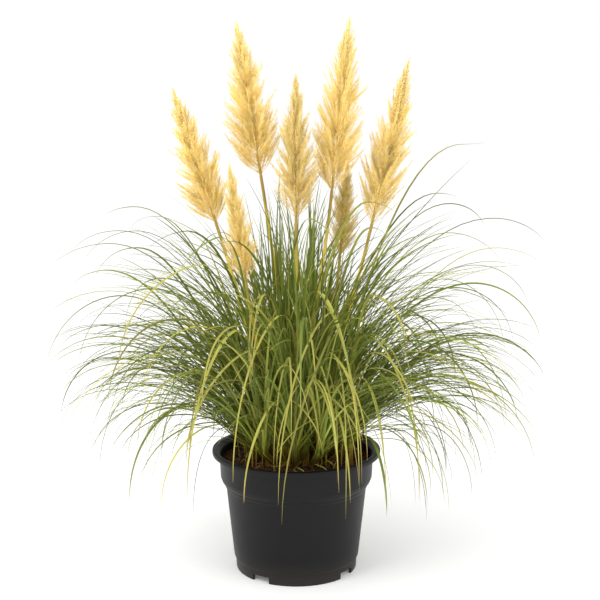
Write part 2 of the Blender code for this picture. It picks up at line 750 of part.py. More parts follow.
def build_plume(name, foot, tip, width, dice):
    """A spindle whose sides are drawn out into pointed locks that lean up and out."""
    foot, tip = np.array(foot), np.array(tip)
    axis = unit(tip - foot)
    length = np.linalg.norm(tip - foot)
    side = unit(np.cross(axis, (0, 1, 0)))
    front = np.cross(axis, side)

    def place(v, angle, radius):
        spoke = side * math.cos(angle) + front * math.sin(angle)
        return foot + axis * length * v + spoke * radius

    step = math.tau / PLUME_SIDES
    points = []
    for number, v in enumerate(PLUME_LEVELS):
        radius = PLUME_CORE * width / 2 * plume_shape(v)
        points += [place(v, (PLUME_TWIST * number + i) * step, radius) for i in range(PLUME_SIDES)]
    faces = [list(reversed(range(PLUME_SIDES)))]
    for lock, (_, tip_v, angle, reach) in enumerate(plume_locks(width, dice)):
        row_start = lock - lock % PLUME_SIDES
        following = row_start + (lock + 1) % PLUME_SIDES
        corners = [lock, following, following + PLUME_SIDES, lock + PLUME_SIDES]
        points.append(place(tip_v, angle, reach))
        faces += [[corners[k], corners[(k + 1) % 4], len(points) - 1] for k in range(4)]
    top_ring = (len(PLUME_LEVELS) - 1) * PLUME_SIDES
    points.append(tip)
    for i in range(PLUME_SIDES):
        faces.append([top_ring + i, top_ring + (i + 1) % PLUME_SIDES, len(points) - 1])
    add_mesh(name, points, faces, "plume")


def main():
    clear_scene()
    build_pot()
    build_soil()
    clump = grow_clump(PLUMES)
    dice = random.Random(SEED)
    for name, (foot, tip, width, _) in PLUMES.items():
        build_stem(f"stem_{name}", clump.stem_sites[name], foot, tip)
        build_plume(f"plume_{name}", foot, tip, width, dice)
    for number, tuft in enumerate(clump.tufts, start=1):
        build_tuft(f"leaf_tuft_{number:02d}", tuft, "green_leaf")


main()
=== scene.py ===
"""Looks of the potted pampas grass: fine leaves, hairy plumes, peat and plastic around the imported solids.

Metres, +Z up. The origin is on the floor under the middle of the pot, and -Y is the front.
"""

import math
import random

import bmesh
import bpy
import numpy as np
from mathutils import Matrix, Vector, noise

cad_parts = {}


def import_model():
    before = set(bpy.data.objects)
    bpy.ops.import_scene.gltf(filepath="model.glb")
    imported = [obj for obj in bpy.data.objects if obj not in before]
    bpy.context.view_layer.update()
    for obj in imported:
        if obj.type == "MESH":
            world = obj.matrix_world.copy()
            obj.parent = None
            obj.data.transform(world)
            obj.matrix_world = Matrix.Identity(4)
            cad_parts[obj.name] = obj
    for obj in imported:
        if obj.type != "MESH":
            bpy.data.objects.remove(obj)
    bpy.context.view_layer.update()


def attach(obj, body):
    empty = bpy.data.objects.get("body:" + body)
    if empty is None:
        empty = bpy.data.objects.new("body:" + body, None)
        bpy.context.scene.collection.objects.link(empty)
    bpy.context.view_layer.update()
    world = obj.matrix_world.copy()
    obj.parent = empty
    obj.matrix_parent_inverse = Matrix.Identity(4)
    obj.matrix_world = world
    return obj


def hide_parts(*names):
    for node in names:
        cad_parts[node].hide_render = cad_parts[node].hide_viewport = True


SEED = 11
UP = np.array((0.0, 0.0, 1.0))
MESH_GAP = 0.0004

# The pot, a thin plastic one with a rolled lip, a tall collar and a notched foot ring
POT_HEIGHT = 0.240
LIP_RADIUS = 0.165
LIP_HEIGHT = 0.0085
LIP_TOP_WIDTH = 0.010
COLLAR_TOP_RADIUS = 0.151
COLLAR_FOOT_RADIUS = 0.149
COLLAR_FOOT_HEIGHT = 0.186
SHOULDER_HEIGHT = 0.168
SHOULDER_RADIUS = 0.138
BODY_FOOT_RADIUS = 0.1235
FOOT_RING_RADIUS = 0.1190
FOOT_RING_HEIGHT = 0.024
FOOT_RING_WIDTH = 0.005
POT_WALL = 0.0028
PLATE_UNDERSIDE = 0.013
PLATE_TOP = 0.0155
NOTCH_COUNT = 4
NOTCH_WIDTH = 0.037
FIRST_NOTCH_AZIMUTH = -35
DRAIN_RADIUS = 0.007
DRAIN_CIRCLE = 0.070

# The soil, flat where the clump stands and a little lower at the pot's wall
SOIL_HEIGHT = 0.222
SOIL_FLAT_RADIUS = 0.112
SOIL_EDGE_HEIGHT = 0.218

# The clump: a sunflower pattern of sites on the soil, one for each stem or tuft
CLUMP_RADIUS = 0.095
SITE_COUNT = 46
SHEATH_RADIUS = 0.0065
SHEATH_HEIGHT = 0.036
LEAF_FOOT_SHARE = 0.6
SHEATH_LEAN = math.radians(38)
LEAN_POWER = 1.5
STEM_RADIUS = 0.0038
STEM_TOP_SHARE = 0.80
STEM_RINGS = 6
STEM_FOOT_HANDLE = 0.30
STEM_TOP_HANDLE = 0.35

# A leaf of the solids is widest near its foot and narrows all the way to a point.
# The pairs are a share of the leaf's length and its width there.
LEAF_HALF_WIDTH = 0.0030
LEAF_WIDTHS = ((0, 0.9), (0.15, 1), (0.55, 0.78), (0.85, 0.42), (1, 0.08))
LEAF_GAP = 0.0008
LEAVES_PER_TUFT = 3
LEAF_RINGS = (0.10, 0.40, 0.70, 0.96, 1.22, 1.48, 1.76, 2.00)
UPRIGHT_RINGS = (0.10, 0.32, 0.58, 0.80, 1.00)
TURN_SHARE = 0.30

# Where a given leaf grows: pairs of the height that it aims at and how far out its tuft stands.
# A metre of distance from that place counts as much as a turn of the leaf by the degrees below.
SITE_REACHES = ((0.30, 0.95), (0.50, 0.70), (0.80, 0.25))
DEGREES_PER_METRE = 3333
MOST_TURN = 95

# How the other leaves vary round the place of their tuft: low and wide outside, and upright in the middle
TRIES_PER_LEAF = 160
CELL_OFFSETS = (0, 62, -62)
OFFSET_SPREAD = 22
MIDDLE_TIER = 1.05
TIER_FALL = 0.85
TIER_SPREAD = 0.22
TIP_SPREAD = 5
SIZES = (0.86, 1.03)
RISES = (0.94, 1.04)
UPRIGHT_REACHES = (0.04, 0.15)
UPRIGHT_HEIGHTS = (0.66, 0.79)

# The curve of a leaf. Its tip hangs straight down where its far side drops this many times its run.
HANG_STEEPNESS = 1.2
HANG_HANDLE = 0.55
CROWN_HANDLE = 0.34
HANGING_CROWN_HANDLE = 0.20
UPRIGHT_CONTROL = (0.32, 0.32, 0.60)

# Reach and height of crown and tip for arching leaves, from the lowest to the highest
ARCH_TIERS = (
    (0.165, 0.300, 0.240, 0.155),
    (0.215, 0.345, 0.340, 0.175),
    (0.285, 0.435, 0.430, 0.285),
    (0.330, 0.560, 0.465, 0.430),
    (0.335, 0.655, 0.450, 0.600),
    (0.230, 0.740, 0.320, 0.725),
)

# Leaves that shape the outline: azimuth, reach and height of the crown, then of the tip.
# Azimuth 0 is to the right, -90 to the front and 180 to the left.
LEFT_LEAVES = (
    (172, 0.315, 0.710, 172, 0.375, 0.695),
    (152, 0.315, 0.680, 148, 0.410, 0.645),
    (188, 0.305, 0.673, 189, 0.405, 0.610),
    (178, 0.358, 0.642, 179, 0.488, 0.583),
    (160, 0.335, 0.620, 157, 0.460, 0.530),
    (168, 0.380, 0.580, 167, 0.478, 0.525),
    (186, 0.334, 0.548, 187, 0.480, 0.400),
    (170, 0.340, 0.420, 170, 0.485, 0.286),
    (183, 0.267, 0.423, 185, 0.398, 0.310),
    (192, 0.262, 0.395, 193, 0.383, 0.217),
    (190, 0.204, 0.339, 191, 0.328, 0.148),
    (166, 0.198, 0.311, 164, 0.321, 0.194),
    (200, 0.173, 0.300, 203, 0.277, 0.157),
    (213, 0.155, 0.305, 216, 0.237, 0.153),
    (205, 0.219, 0.613, 207, 0.359, 0.428),
    (200, 0.196, 0.495, 203, 0.306, 0.359),
    (208, 0.207, 0.417, 211, 0.323, 0.261),
)
RIGHT_LEAVES = (
    (-2, 0.382, 0.637, -3, 0.481, 0.595),
    (6, 0.347, 0.561, 5, 0.486, 0.437),
    (-12, 0.285, 0.584, -13, 0.399, 0.449),
    (-6, 0.348, 0.476, -7, 0.478, 0.392),
    (13, 0.359, 0.590, 14, 0.485, 0.503),
    (-16, 0.300, 0.478, -18, 0.411, 0.304),
    (-3, 0.302, 0.404, -4, 0.407, 0.266),
    (-19, 0.268, 0.390, -21, 0.359, 0.212),
    (-24, 0.229, 0.328, -26, 0.323, 0.204),
    (-31, 0.191, 0.311, -33, 0.288, 0.141),
    (-38, 0.174, 0.290, -42, 0.227, 0.151),
    (9, 0.322, 0.830, 9, 0.368, 0.833),
    (16, 0.311, 0.712, 17, 0.393, 0.667),
    (26, 0.312, 0.728, 28, 0.380, 0.711),
    (3, 0.380, 0.690, 1, 0.477, 0.647),
)
FRONT_LEAVES = (
    (-133, 0.163, 0.497, -131, 0.290, 0.287),
    (-116, 0.145, 0.472, -127, 0.324, 0.296),
    (-101, 0.163, 0.533, -108, 0.347, 0.277),
    (-123, 0.119, 0.559, -110, 0.235, 0.424),
    (-63, 0.168, 0.537, -94, 0.341, 0.205),
    (-111, 0.182, 0.322, -111, 0.257, 0.211),
    (-52, 0.191, 0.417, -54, 0.273, 0.205),
    (-38, 0.179, 0.488, -37, 0.283, 0.191),
    (-35, 0.175, 0.560, -39, 0.256, 0.466),
    (-74, 0.146, 0.575, -70, 0.320, 0.260),
    (-67, 0.162, 0.464, -72, 0.284, 0.190),
    (-77, 0.123, 0.452, -73, 0.251, 0.247),
    (-88, 0.330, 0.560, -89, 0.487, 0.430),
)
BACK_LEAVES = (
    (90, 0.340, 0.600, 91, 0.487, 0.480),
    (62, 0.330, 0.640, 60, 0.450, 0.560),
    (118, 0.330, 0.630, 121, 0.455, 0.540),
    (75, 0.280, 0.430, 74, 0.420, 0.290),
    (107, 0.270, 0.420, 109, 0.415, 0.270),
)

# The front hangs less than the other sides: how many tiers a leaf gains there, and how far round that goes
FRONT_AZIMUTH = -90
FRONT_LIFT = 0.42
FRONT_SPREAD = 75

# Straight leaves that stand in the middle: azimuth, reach and height of the tip
UPRIGHT_LEAVES = (
    (4, 0.340, 0.808),
    (60, 0.110, 0.770),
    (110, 0.085, 0.790),
    (150, 0.120, 0.745),
    (80, 0.140, 0.735),
)

# Plumes: foot and tip of the plume, its width, and where its stem leaves the soil
PLUMES = {
    "left": ((-0.154, 0.010, 0.684), (-0.233, 0.010, 0.937), 0.104, (-0.052, 0.000)),
    "left_tall": ((-0.068, 0.030, 0.773), (-0.113, 0.030, 1.063), 0.110, (-0.024, 0.020)),
    "front_small": ((-0.093, -0.090, 0.586), (-0.122, -0.090, 0.805), 0.070, (-0.040, -0.045)),
    "middle": ((0.000, -0.030, 0.696), (0.000, -0.030, 0.966), 0.090, (0.005, -0.020)),
    "right_tall": ((0.068, 0.000, 0.746), (0.100, 0.000, 1.071), 0.106, (0.026, 0.000)),
    "right": ((0.145, 0.010, 0.681), (0.213, 0.010, 0.994), 0.096, (0.055, 0.000)),
    "back_small": ((0.087, 0.090, 0.610), (0.102, 0.100, 0.800), 0.066, (0.040, 0.045)),
}
PLUME_FOOT_GAP = 0.0006
PLUME_SIDES = 8
PLUME_LEVELS = (0.00, 0.07, 0.17, 0.29, 0.42, 0.56, 0.70, 0.83)
PLUME_WIDTHS = (
    (0, 0.10),
    (0.06, 0.45),
    (0.16, 0.85),
    (0.30, 1),
    (0.45, 0.92),
    (0.65, 0.66),
    (0.85, 0.32),
    (1, 0.02),
)
PLUME_TWIST = 0.35
LOCK_RISE = 0.17
TOP_LOCK_RISE = 0.09
LOCK_RISES = (0.80, 1.15)
LOCK_REACHES = (0.92, 1.08)
LOCK_SWAY = 0.2
PLUME_RODS = 14

# The fine leaves of a tuft: those of the solids again, a fan of more leaves, and one that arches right over.
# They leave the peat a little nearer the middle of the pot than the tuft's sheath, by the pull.
SOLID_LEAF_RINGS = 30
FAN_LEAVES = 32
MIDDLE_FAN_LEAVES = 64
FAN_RINGS = 22
FOOT_RINGS = 4
FOOT_PULL = 0.80
FOOT_GATHER = 0.9
FOOT_SPREAD = (0.2, 1.5)
ARCHES = 1
LEAF_TAPER = ((0, 0.50), (0.12, 0.68), (0.45, 1), (0.75, 0.78), (0.92, 0.40), (1, 0.06))
FOLD = 0.42
TWIST = 0.9
WAVER = 0.002
STRIP_SIDES = np.array((-1.0, 0.0, 1.0))
SECTORS = ("right", "back_right", "back", "back_left", "left", "front_left", "front", "front_right")
MIDDLE_SHARE = 0.38

# Half the width of a leaf of the solids, of an upright one, of a leaf of the fan, and of a yellow one
MAIN_HALF_WIDTH = 0.0030
UPRIGHT_HALF_WIDTH = 0.0036
FINE_HALF_WIDTH = (0.0013, 0.0022)
YELLOW_HALF_WIDTH = 0.0023

# How light a leaf is, which leaves turn partly gold, and which leaves of the solids are yellow
LEAF_TONE = (0.48, 0.26)
GOLD_SHARE = 0.22
GOLD = (0.3, 0.9)
YELLOW_FRONT_LEAVES = 12
YELLOW_LEFT_AZIMUTHS = (205, 200, 208)

# How a leaf of the fan leans, by how far out its tuft stands, and its length and bend, by its lean in
# degrees. It bends more toward its tip, by the power. The front leans and bends less.
FAN_SPREAD = 38
FAN_LEAN = ((0, 3), (0.35, 12), (0.7, 29), (1, 46))
FAN_LEAN_SPREAD = 9
LEAST_LEAN = 1.5
FAN_LENGTH = ((0, 0.51), (15, 0.55), (35, 0.47), (55, 0.37))
FAN_SIZES = (0.74, 1.10)
FAN_BEND = ((0, 18), (12, 62), (30, 102), (55, 106))
FAN_BEND_SIZES = (0.80, 1.25)
FAN_POWERS = (1.5, 2.2)
FAN_SWING = 8
FRONT_LESS_LEAN = 0.50
FRONT_LESS_BEND = 0.35
SHORT_SHARE = 0.36
SHORT_SIZES = (0.45, 0.82)
MOST_TILT = 168
MOST_REACH = 0.478

# A leaf of the tuft that arches right over
ARCH_LEAN = (8, 30)
ARCH_LENGTH = (0.46, 0.62)
ARCH_BEND = (115, 150)
ARCH_POWERS = (1.3, 1.7)
ARCH_WIDTHS = (0.75, 0.95)
ARCH_YELLOWS = (0.75, 1.0)

# Fan leaves are kept from in front of these plumes, within a share of their width
CLEAR_PLUMES = ("left", "left_tall", "front_small", "middle", "right_tall", "right")
CLEAR_SHARE = 0.45
CLEAR_TRIES = 8

# Yellow leaves in front of the rest: the x of the foot, then the x and z of the crown and of the tip.
# The higher a crown is, the further forward it stands.
FRONT_ARCHES = (
    (0.019, 0.037, 0.589, 0.115, 0.258),
    (-0.012, -0.055, 0.583, -0.079, 0.424),
    (-0.004, -0.028, 0.544, -0.110, 0.257),
    (-0.084, -0.107, 0.515, -0.192, 0.216),
    (-0.054, -0.080, 0.477, -0.194, 0.275),
    (-0.027, -0.042, 0.488, -0.115, 0.414),
    (0.107, 0.063, 0.550, -0.031, 0.216),
    (0.014, -0.012, 0.465, -0.039, 0.268),
    (0.019, 0.009, 0.412, -0.034, 0.270),
    (-0.014, 0.013, 0.408, 0.041, 0.303),
    (0.042, 0.057, 0.475, 0.126, 0.289),
    (0.015, 0.032, 0.469, 0.075, 0.250),
    (0.107, 0.139, 0.583, 0.192, 0.491),
    (0.103, 0.129, 0.506, 0.219, 0.215),
    (0.087, 0.119, 0.424, 0.161, 0.206),
    (0.103, 0.153, 0.428, 0.232, 0.331),
    (0.023, 0.040, 0.400, 0.116, 0.310),
    (0.049, 0.073, 0.359, 0.098, 0.200),
    (-0.019, -0.004, 0.376, 0.047, 0.293),
    (-0.004, 0.021, 0.521, 0.034, 0.421),
    (-0.023, -0.036, 0.376, -0.094, 0.201),
    (0.057, 0.033, 0.339, -0.036, 0.284),
    (-0.058, -0.166, 0.638, -0.302, 0.462),
    (-0.065, -0.185, 0.519, -0.267, 0.407),
    (-0.077, -0.192, 0.436, -0.280, 0.311),
)
ARCH_FRONT = -0.055
ARCH_SLOPE = -0.30
ARCH_FALL = -0.05
ARCH_FOOT_Y = -0.07
ARCH_FOOT_RISE = 0.04
ARCH_HALF_WIDTH = (0.0019, 0.0028)
ARCH_TONES = (0.30, 0.66)

# Leaves that hang over the rim on both sides
HANGING_LEAVES = 16
HANGING_AZIMUTHS = {"left": (155, 215), "right": (-35, 25)}
HANG_FOOT = (0.085, 0.115)
HANG_FOOT_TURN = 14
HANG_FOOT_REACH = 0.006
HANG_CROWN_REACH = (0.17, 0.25)
HANG_CROWN_HEIGHT = (0.27, 0.36)
HANG_TURN = 8
HANG_OUT = (0.05, 0.11)
HANG_FALL = (0.07, 0.17)
HANG_YELLOWS = (0, 0.8)

# Short dry leaves bent down onto the peat
SHORT_LEAVES = 28
SHORT_LEAF_FOOT = (0.072, 0.104)
SHORT_LEAF_BASE = (0.004, 0.005)
SHORT_CROWN_TURN = 60
SHORT_CROWN_REACH = (0.012, 0.026)
SHORT_CROWN_HEIGHT = (0.010, 0.024)
SHORT_TIP_TURN = 70
SHORT_TIP_REACH = (0.014, 0.040)
SHORT_TIP_RISE = 0.002
SHORT_LEAF_REACH = 0.138
SHORT_HALF_WIDTH = (0.0007, 0.0013)
SHORT_TONES = (0.2, 0.7)

# Shoots round the foot of each tuft, and the part of a leaf's colours that they show
TILLERS = 7
TILLER_TURN = 30
TILLER_SPREAD = (0.3, 0.9)
TILLER_GATHER = 0.9
TILLER_RISES = (0.1, 0.9)
TILLER_RADII = (0.0012, 0.0014, 0.0014, 0.0012, 0.0009, 0.0005)
TILLER_COLOURS = (0, 0.16)

# The canes, a little thicker at their joints, and the rachis, the thin end of a cane inside its plume
TUBE_SIDES = 7
TUBE_SIDEWAYS = (0.31, 0.95, 0.02)
CANE_RINGS = 44
CANE_SIDES = 12
CANE_TAPER = ((0, 1), (0.2, 0.92), (1, STEM_TOP_SHARE))
CANE_JOINTS = (0.22, 0.47, 0.70)
JOINT_BULGE = 0.22
JOINT_LENGTH = 0.012
RACHIS_SHARE = 0.86
RACHIS_RINGS = 12
RACHIS_FOOT_SHARE = 0.9
RACHIS_TIP_SHARE = 0.12
RACHIS_COLOURS = (0.90, 0.95)

# What grows at random heights of a plume: how many, where their feet are, how far they rise if they start at
# the plume's foot and at its tip, then how that rise and the reach vary. Heights are shares of its length.
FINE_LOCKS = {
    "count": 110,
    "feet": (0.03, 0.88),
    "rise": (LOCK_RISE, TOP_LOCK_RISE),
    "rises": (0.8, 1.25),
    "reaches": (0.70, 1.10),
}
FILLERS = {
    "count": 70,
    "feet": (0.16, 0.84),
    "rise": (0.22, 0.099),
    "rises": (0.6, 1.0),
    "reaches": (0.10, 0.70),
}
SPIRES = {
    "count": 14,
    "feet": (0.74, 0.93),
    "rise": (1, 0),
    "rises": (0.45, 1.0),
    "reaches": (0.3, 1.2),
}

# The locks that stand out: their share, where their feet are, and how much further they reach and rise
STRAY_SHARE = 0.10
STRAY_FEET = (0.08, 0.6)
STRAY_REACHES = (1.10, 1.32)
STRAY_RISE = 0.7

# The branches that gather in a lock end at its tip or short of it. Shorter ones spread wider round it.
BRANCHES_PER_LOCK = 3
MOST_SHORT = 0.50
SHORT_POWER = 1.4
BRANCH_DROP = 0.08
LOWEST_BRANCH = 0.003
BRANCH_TURNS = (0.05, 0.5)
SHORT_BRANCH_REACH = 0.75

# The curve of a branch, its width, and its tone against that of its hairs
BRANCH_BEND = (0.42, 0.60)
BRANCH_RINGS = 7
BRANCH_HALF_WIDTH = 0.00045
BRANCH_TAPER = 0.85
BRANCH_TONE = 0.8

# The fine hairs that lean along a branch, shorter toward its end.
# A low branch is bare for a share of its length.
HAIRS_PER_BRANCH = 88
FULL_PLUME_AREA = 0.030
BARE_SHARES = ((0, 0.40), (0.2, 0.03))
HAIR_CROWDING = 0.85
HAIR_STEP = 0.02
HAIR_LENGTH = 0.023
HAIR_PLUME_WIDTH = 0.10
HAIR_SIZES = (0.5, 1.1)
HAIR_TAPER = 0.70
LEAST_FULLNESS = 0.30
HAIR_LEAN = 32
HAIR_LEAN_SPREAD = 16
HAIR_LEANS = (3, 80)
HAIR_DROOP = -0.10
HAIR_RISE = 0.08
HAIR_HALF_WIDTH = 0.00024
HAIR_TIP_TAPER = 0.8
HAIR_RINGS = 2

# How light each plume is, and how its locks, branches and hairs vary round that
PLUME_TONES = {
    "left": 0.86,
    "left_tall": 0.88,
    "front_small": 0.82,
    "middle": 0.62,
    "right_tall": 0.86,
    "right": 0.78,
    "back_small": 0.52,
}
LOCK_TONE_SPREAD = 0.12
BRANCH_TONE_SPREAD = 0.07
HAIR_TONE_SPREAD = 0.08

# How much of its row a strip fills in the texture map, and the margin round the whole map
ROW_FILL = 0.42
MAP_MARGIN = 0.01
RIBBON_MARGIN = 0.02
RIBBON_NUDGE = 0.002

# Details of the pot's outline. A ledge runs round its shoulder, and a seam above its foot ring.
SHELL_SIDES = 160
CORNER_RADIUS = 0.0016
CORNER_SHARE = 0.4
SHARP_ANGLE = math.radians(32)
LIP_SEAM = 0.001
INNER_BODY_BEND = 0.004
INNER_COLLAR_BEND = 0.002
COLLAR_UNDERCUT = (0.003, 0.008)
LEDGE_WIDTH = 0.003
LEDGE_TOP = 0.0045
LEDGE_FOOT = 0.001
LEDGE_BEND = 0.003
SEAM_WIDTH = 0.0006
SEAM_TOP = 0.003
SEAM_EDGE = 0.001
FOOT_RING_FLARE = 0.0014
CUT_DEPTH = 0.010
DRAIN_SIDES = 24

# The peat: its mesh, its lumps by how many to a metre, their height and a shift, and the crumbs on it
PEAT_RINGS = 60
PEAT_SIDES = 200
PEAT_CROWDING = 0.85
PEAT_GAP = 0.0006
PEAT_LUMPS = ((55, 0.0022, 1.3), (210, 0.0014, 4.1))
CRUMBS = 1500
CRUMB_REACH = 0.975
CRUMB_SIZES = (0.0007, 0.0026)
LARGE_CRUMB = 1.5
SMALL_CRUMB_SHARE = 0.9
CRUMB_SQUASH = (0.6, 1.3)
CRUMB_BULGE = 0.5
CRUMB_FINENESS = 900
CRUMB_SHIFT = 4000
CRUMB_RISE = 0.3

# Litter on the peat: fibres, and a few dry blades among the first of them
LITTER = 420
BLADES = 46
LITTER_POINTS = 8
LITTER_EDGE = 0.143
LITTER_REACH = 0.94
LITTER_AREA = (0.25, 1)
LITTER_CURLS = (0.1, 1)
LITTER_RISE = 0.0012
LITTER_BEND = 70
LITTER_TAPER = ((0, 0.4), (0.3, 1), (1, 0.15))
BLADE = {
    "reach": 0.128,
    "length": (0.022, 0.055),
    "curl": 0.22,
    "half_width": (0.0006, 0.0013),
    "tone": (0.45, 1.0),
}
FIBRE = {
    "reach": 0.148,
    "length": (0.004, 0.014),
    "curl": 0.06,
    "half_width": (0.00025, 0.0006),
    "tone": (0, 0.8),
}

# The studio: its floor, and each light's place, size and power. The key is at the upper left.
FLOOR_REACH = 14.0
LIGHTS = {
    "key": ((-1.7, -1.5, 2.5), 1.6, 45),
    "fill": ((1.9, -1.4, 1.9), 1.8, 18),
}
LIGHTS_AIM = (0, 0, 0.5)

# Camera, fitted to the pot's rim and foot in the photograph
CAMERA_PLACE = (0.0073, -2.355, 0.9434)
CAMERA_TILT = 80.15
LENS = 74.4
SENSOR = 36


def polar(azimuth, reach, height):
    angle = math.radians(azimuth)
    return np.array((reach * math.cos(angle), reach * math.sin(angle), height))


def unit(vector):
    return vector / np.linalg.norm(vector)


def level(vector):
    """The unit vector of its horizontal part."""
    return unit(vector * (1, 1, 0))


def profile(pairs, where):
    """The value at a place, between pairs of place and value."""
    return np.interp(where, *zip(*pairs))


def clump_sites():
    """Points of a sunflower pattern on the soil, from the middle out."""
    golden_angle = 180 * (3 - math.sqrt(5))
    return [
        polar(i * golden_angle, CLUMP_RADIUS * math.sqrt((i + 0.5) / SITE_COUNT), SOIL_HEIGHT + MESH_GAP)
        for i in range(SITE_COUNT)
    ]


def bezier(start, start_handle, end_handle, end, t):
    s = 1 - t
    return s**3 * start + 3 * s * s * t * start_handle + 3 * s * t * t * end_handle + t**3 * end


def arch_point(base, crown, tip, t):
    """A point of an arching leaf: t from 0 to 1 rises to the crown, and from 1 to 2 goes over to the tip."""
    over = level(level(crown - base) + level(tip - crown))
    if t <= 1:
        rise = crown - over * np.linalg.norm((crown - base)[:2]) / 2
        return bezier(base, base + (rise - base) * 2 / 3, crown + (rise - crown) * 2 / 3, crown, t)
    run = np.linalg.norm((tip - crown)[:2])
    drop = crown[2] - tip[2]
    hang = min(1, drop / (HANG_STEEPNESS * run))
    parabola_handle = crown + over * run / 2
    hanging_handle = tip + UP * HANG_HANDLE * drop
    end_handle = (1 - hang) * (tip + (parabola_handle - tip) * 2 / 3) + hang * hanging_handle
    crown_handle = crown + over * run * (CROWN_HANDLE + HANGING_CROWN_HANDLE * hang)
    return bezier(crown, crown_handle, end_handle, tip, t - 1)


def upright_point(base, tip, t):
    """A point of a leaf that stands and bends only a little: t from 0 to 1."""
    rise = base + (tip - base) * UPRIGHT_CONTROL
    return bezier(base, base + (rise - base) * 2 / 3, tip + (rise - tip) * 2 / 3, tip, t)


class Rods:
    """A chain of straight rods with round ends, each as thick as the thicker of its two ends."""

    def __init__(self, points, half_widths):
        self.points = np.asarray(points)
        self.point_widths = np.asarray(half_widths)
        self.starts = self.points[:-1]
        self.runs = self.points[1:] - self.points[:-1]
        self.half_widths = np.maximum(self.point_widths[:-1], self.point_widths[1:])

    def without_first(self):
        return Rods(self.points[1:], self.point_widths[1:])

    def touch(self, other, gap):
        """Whether two rods of the chains come nearer than the gap, by the closest points of each pair."""
        starts, runs = self.starts[:, None], self.runs[:, None]
        between = starts - other.starts[None]
        own = (runs * runs).sum(2)
        others = (other.runs * other.runs).sum(1)[None]
        cross = (runs * other.runs[None]).sum(2)
        own_lead = (runs * between).sum(2)
        other_lead = (other.runs[None] * between).sum(2)
        spread = np.maximum(own * others - cross * cross, 1e-15)
        s = np.clip((cross * other_lead - own_lead * others) / spread, 0, 1)
        t = np.clip((cross * s + other_lead) / others, 0, 1)
        s = np.clip((cross * t - own_lead) / own, 0, 1)
        apart = np.linalg.norm(between + s[..., None] * runs - t[..., None] * other.runs[None], axis=2)
        return bool((apart < self.half_widths[:, None] + other.half_widths[None] + gap).any())


class Leaf:
    """One leaf's line from the sheath to its tip, as the points where its mesh has a ring."""

    def __init__(self, base, azimuth, crown, tip):
        self.base, self.crown, self.tip = base, crown, tip
        rings = UPRIGHT_RINGS if crown is None else LEAF_RINGS
        self.points = np.array([self.point(t) for t in (0, *rings)])
        steps = np.linalg.norm(np.diff(self.points, axis=0), axis=1)
        self.along = np.concatenate(([0], np.cumsum(steps))) / steps.sum()
        self.base_heading = polar(azimuth, 1, 0)
        self.heading = level((tip if crown is None else crown) - base)

    def point(self, t):
        if self.crown is None:
            return upright_point(self.base, self.tip, t)
        return arch_point(self.base, self.crown, self.tip, t)

    def half_width(self, along):
        return LEAF_HALF_WIDTH * profile(LEAF_WIDTHS, along)

    def rods(self):
        return Rods(self.points, self.half_width(self.along))


class Tuft:
    """A leaning sheath with up to three leaves, which each grow from two sides of its six-sided top."""

    def __init__(self, site):
        out = site * (1, 1, 0)
        share = np.linalg.norm(out) / CLUMP_RADIUS
        self.site = site
        self.out_azimuth = math.degrees(math.atan2(out[1], out[0]))
        lean = SHEATH_LEAN * share**LEAN_POWER
        self.top = site + SHEATH_HEIGHT * (UP + level(out) * math.tan(lean))
        self.share = share
        self.leaves = [None] * LEAVES_PER_TUFT

    def cell_azimuth(self, cell):
        return self.out_azimuth + cell * 360 / LEAVES_PER_TUFT

    def leaf(self, cell, crown, tip):
        azimuth = self.cell_azimuth(cell)
        return Leaf(self.top + polar(azimuth, SHEATH_RADIUS * LEAF_FOOT_SHARE, 0), azimuth, crown, tip)

    def sheath_rod(self):
        return Rods((self.site, self.top), (SHEATH_RADIUS, SHEATH_RADIUS))


def turn_between(a, b):
    """The angle between two azimuths in degrees, from 0 to 180."""
    return abs((a - b + 180) % 360 - 180)


class Clump:
    """The tufts and stems, with the rods that every new leaf must stay clear of."""

    def __init__(self, stems):
        sites = clump_sites()
        self.stem_sites = {}
        for name, wanted in stems.items():
            nearest = min(range(len(sites)), key=lambda i: math.dist(sites[i][:2], wanted))
            self.stem_sites[name] = sites.pop(nearest)
        self.tufts = [Tuft(site) for site in sites]
        self.taken = [(tuft, tuft.sheath_rod()) for tuft in self.tufts]

    def is_clear(self, tuft, leaf):
        """Whether the leaf touches nothing that grows already, except its own tuft with its first rod."""
        rods = leaf.rods()
        free_rods = rods.without_first()
        for owner, other in self.taken:
            tested = free_rods if owner is tuft else rods
            if tested.touch(other, LEAF_GAP):
                return False
        return True

    def add_leaf(self, tuft, cell, leaf):
        tuft.leaves[cell] = leaf
        self.taken.append((tuft, leaf.rods()))

    def place(self, crown, tip):
        """Grows a given leaf from the free place that suits it best, among those where it is clear."""
        aim = tip if crown is None else crown
        azimuth = math.degrees(math.atan2(aim[1], aim[0]))
        wanted = polar(azimuth, CLUMP_RADIUS * float(profile(SITE_REACHES, aim[2])), SOIL_HEIGHT)
        choices = []
        for tuft in self.tufts:
            for cell, leaf in enumerate(tuft.leaves):
                turn = turn_between(tuft.cell_azimuth(cell), azimuth)
                if leaf is None and turn < MOST_TURN:
                    cost = math.dist(tuft.site[:2], wanted[:2]) + turn / DEGREES_PER_METRE
                    choices.append((cost, tuft.out_azimuth, tuft, cell))
        for _, _, tuft, cell in sorted(choices, key=lambda choice: choice[:2]):
            leaf = tuft.leaf(cell, crown, tip)
            if self.is_clear(tuft, leaf):
                self.add_leaf(tuft, cell, leaf)
                return
        raise ValueError(f"no clear place for the leaf with its tip at {tip}")


def share_of_front(azimuth):
    """1 for a leaf that grows straight to the front, less beside it and 0 elsewhere."""
    return max(0, 1 - turn_between(azimuth, FRONT_AZIMUTH) / FRONT_SPREAD)


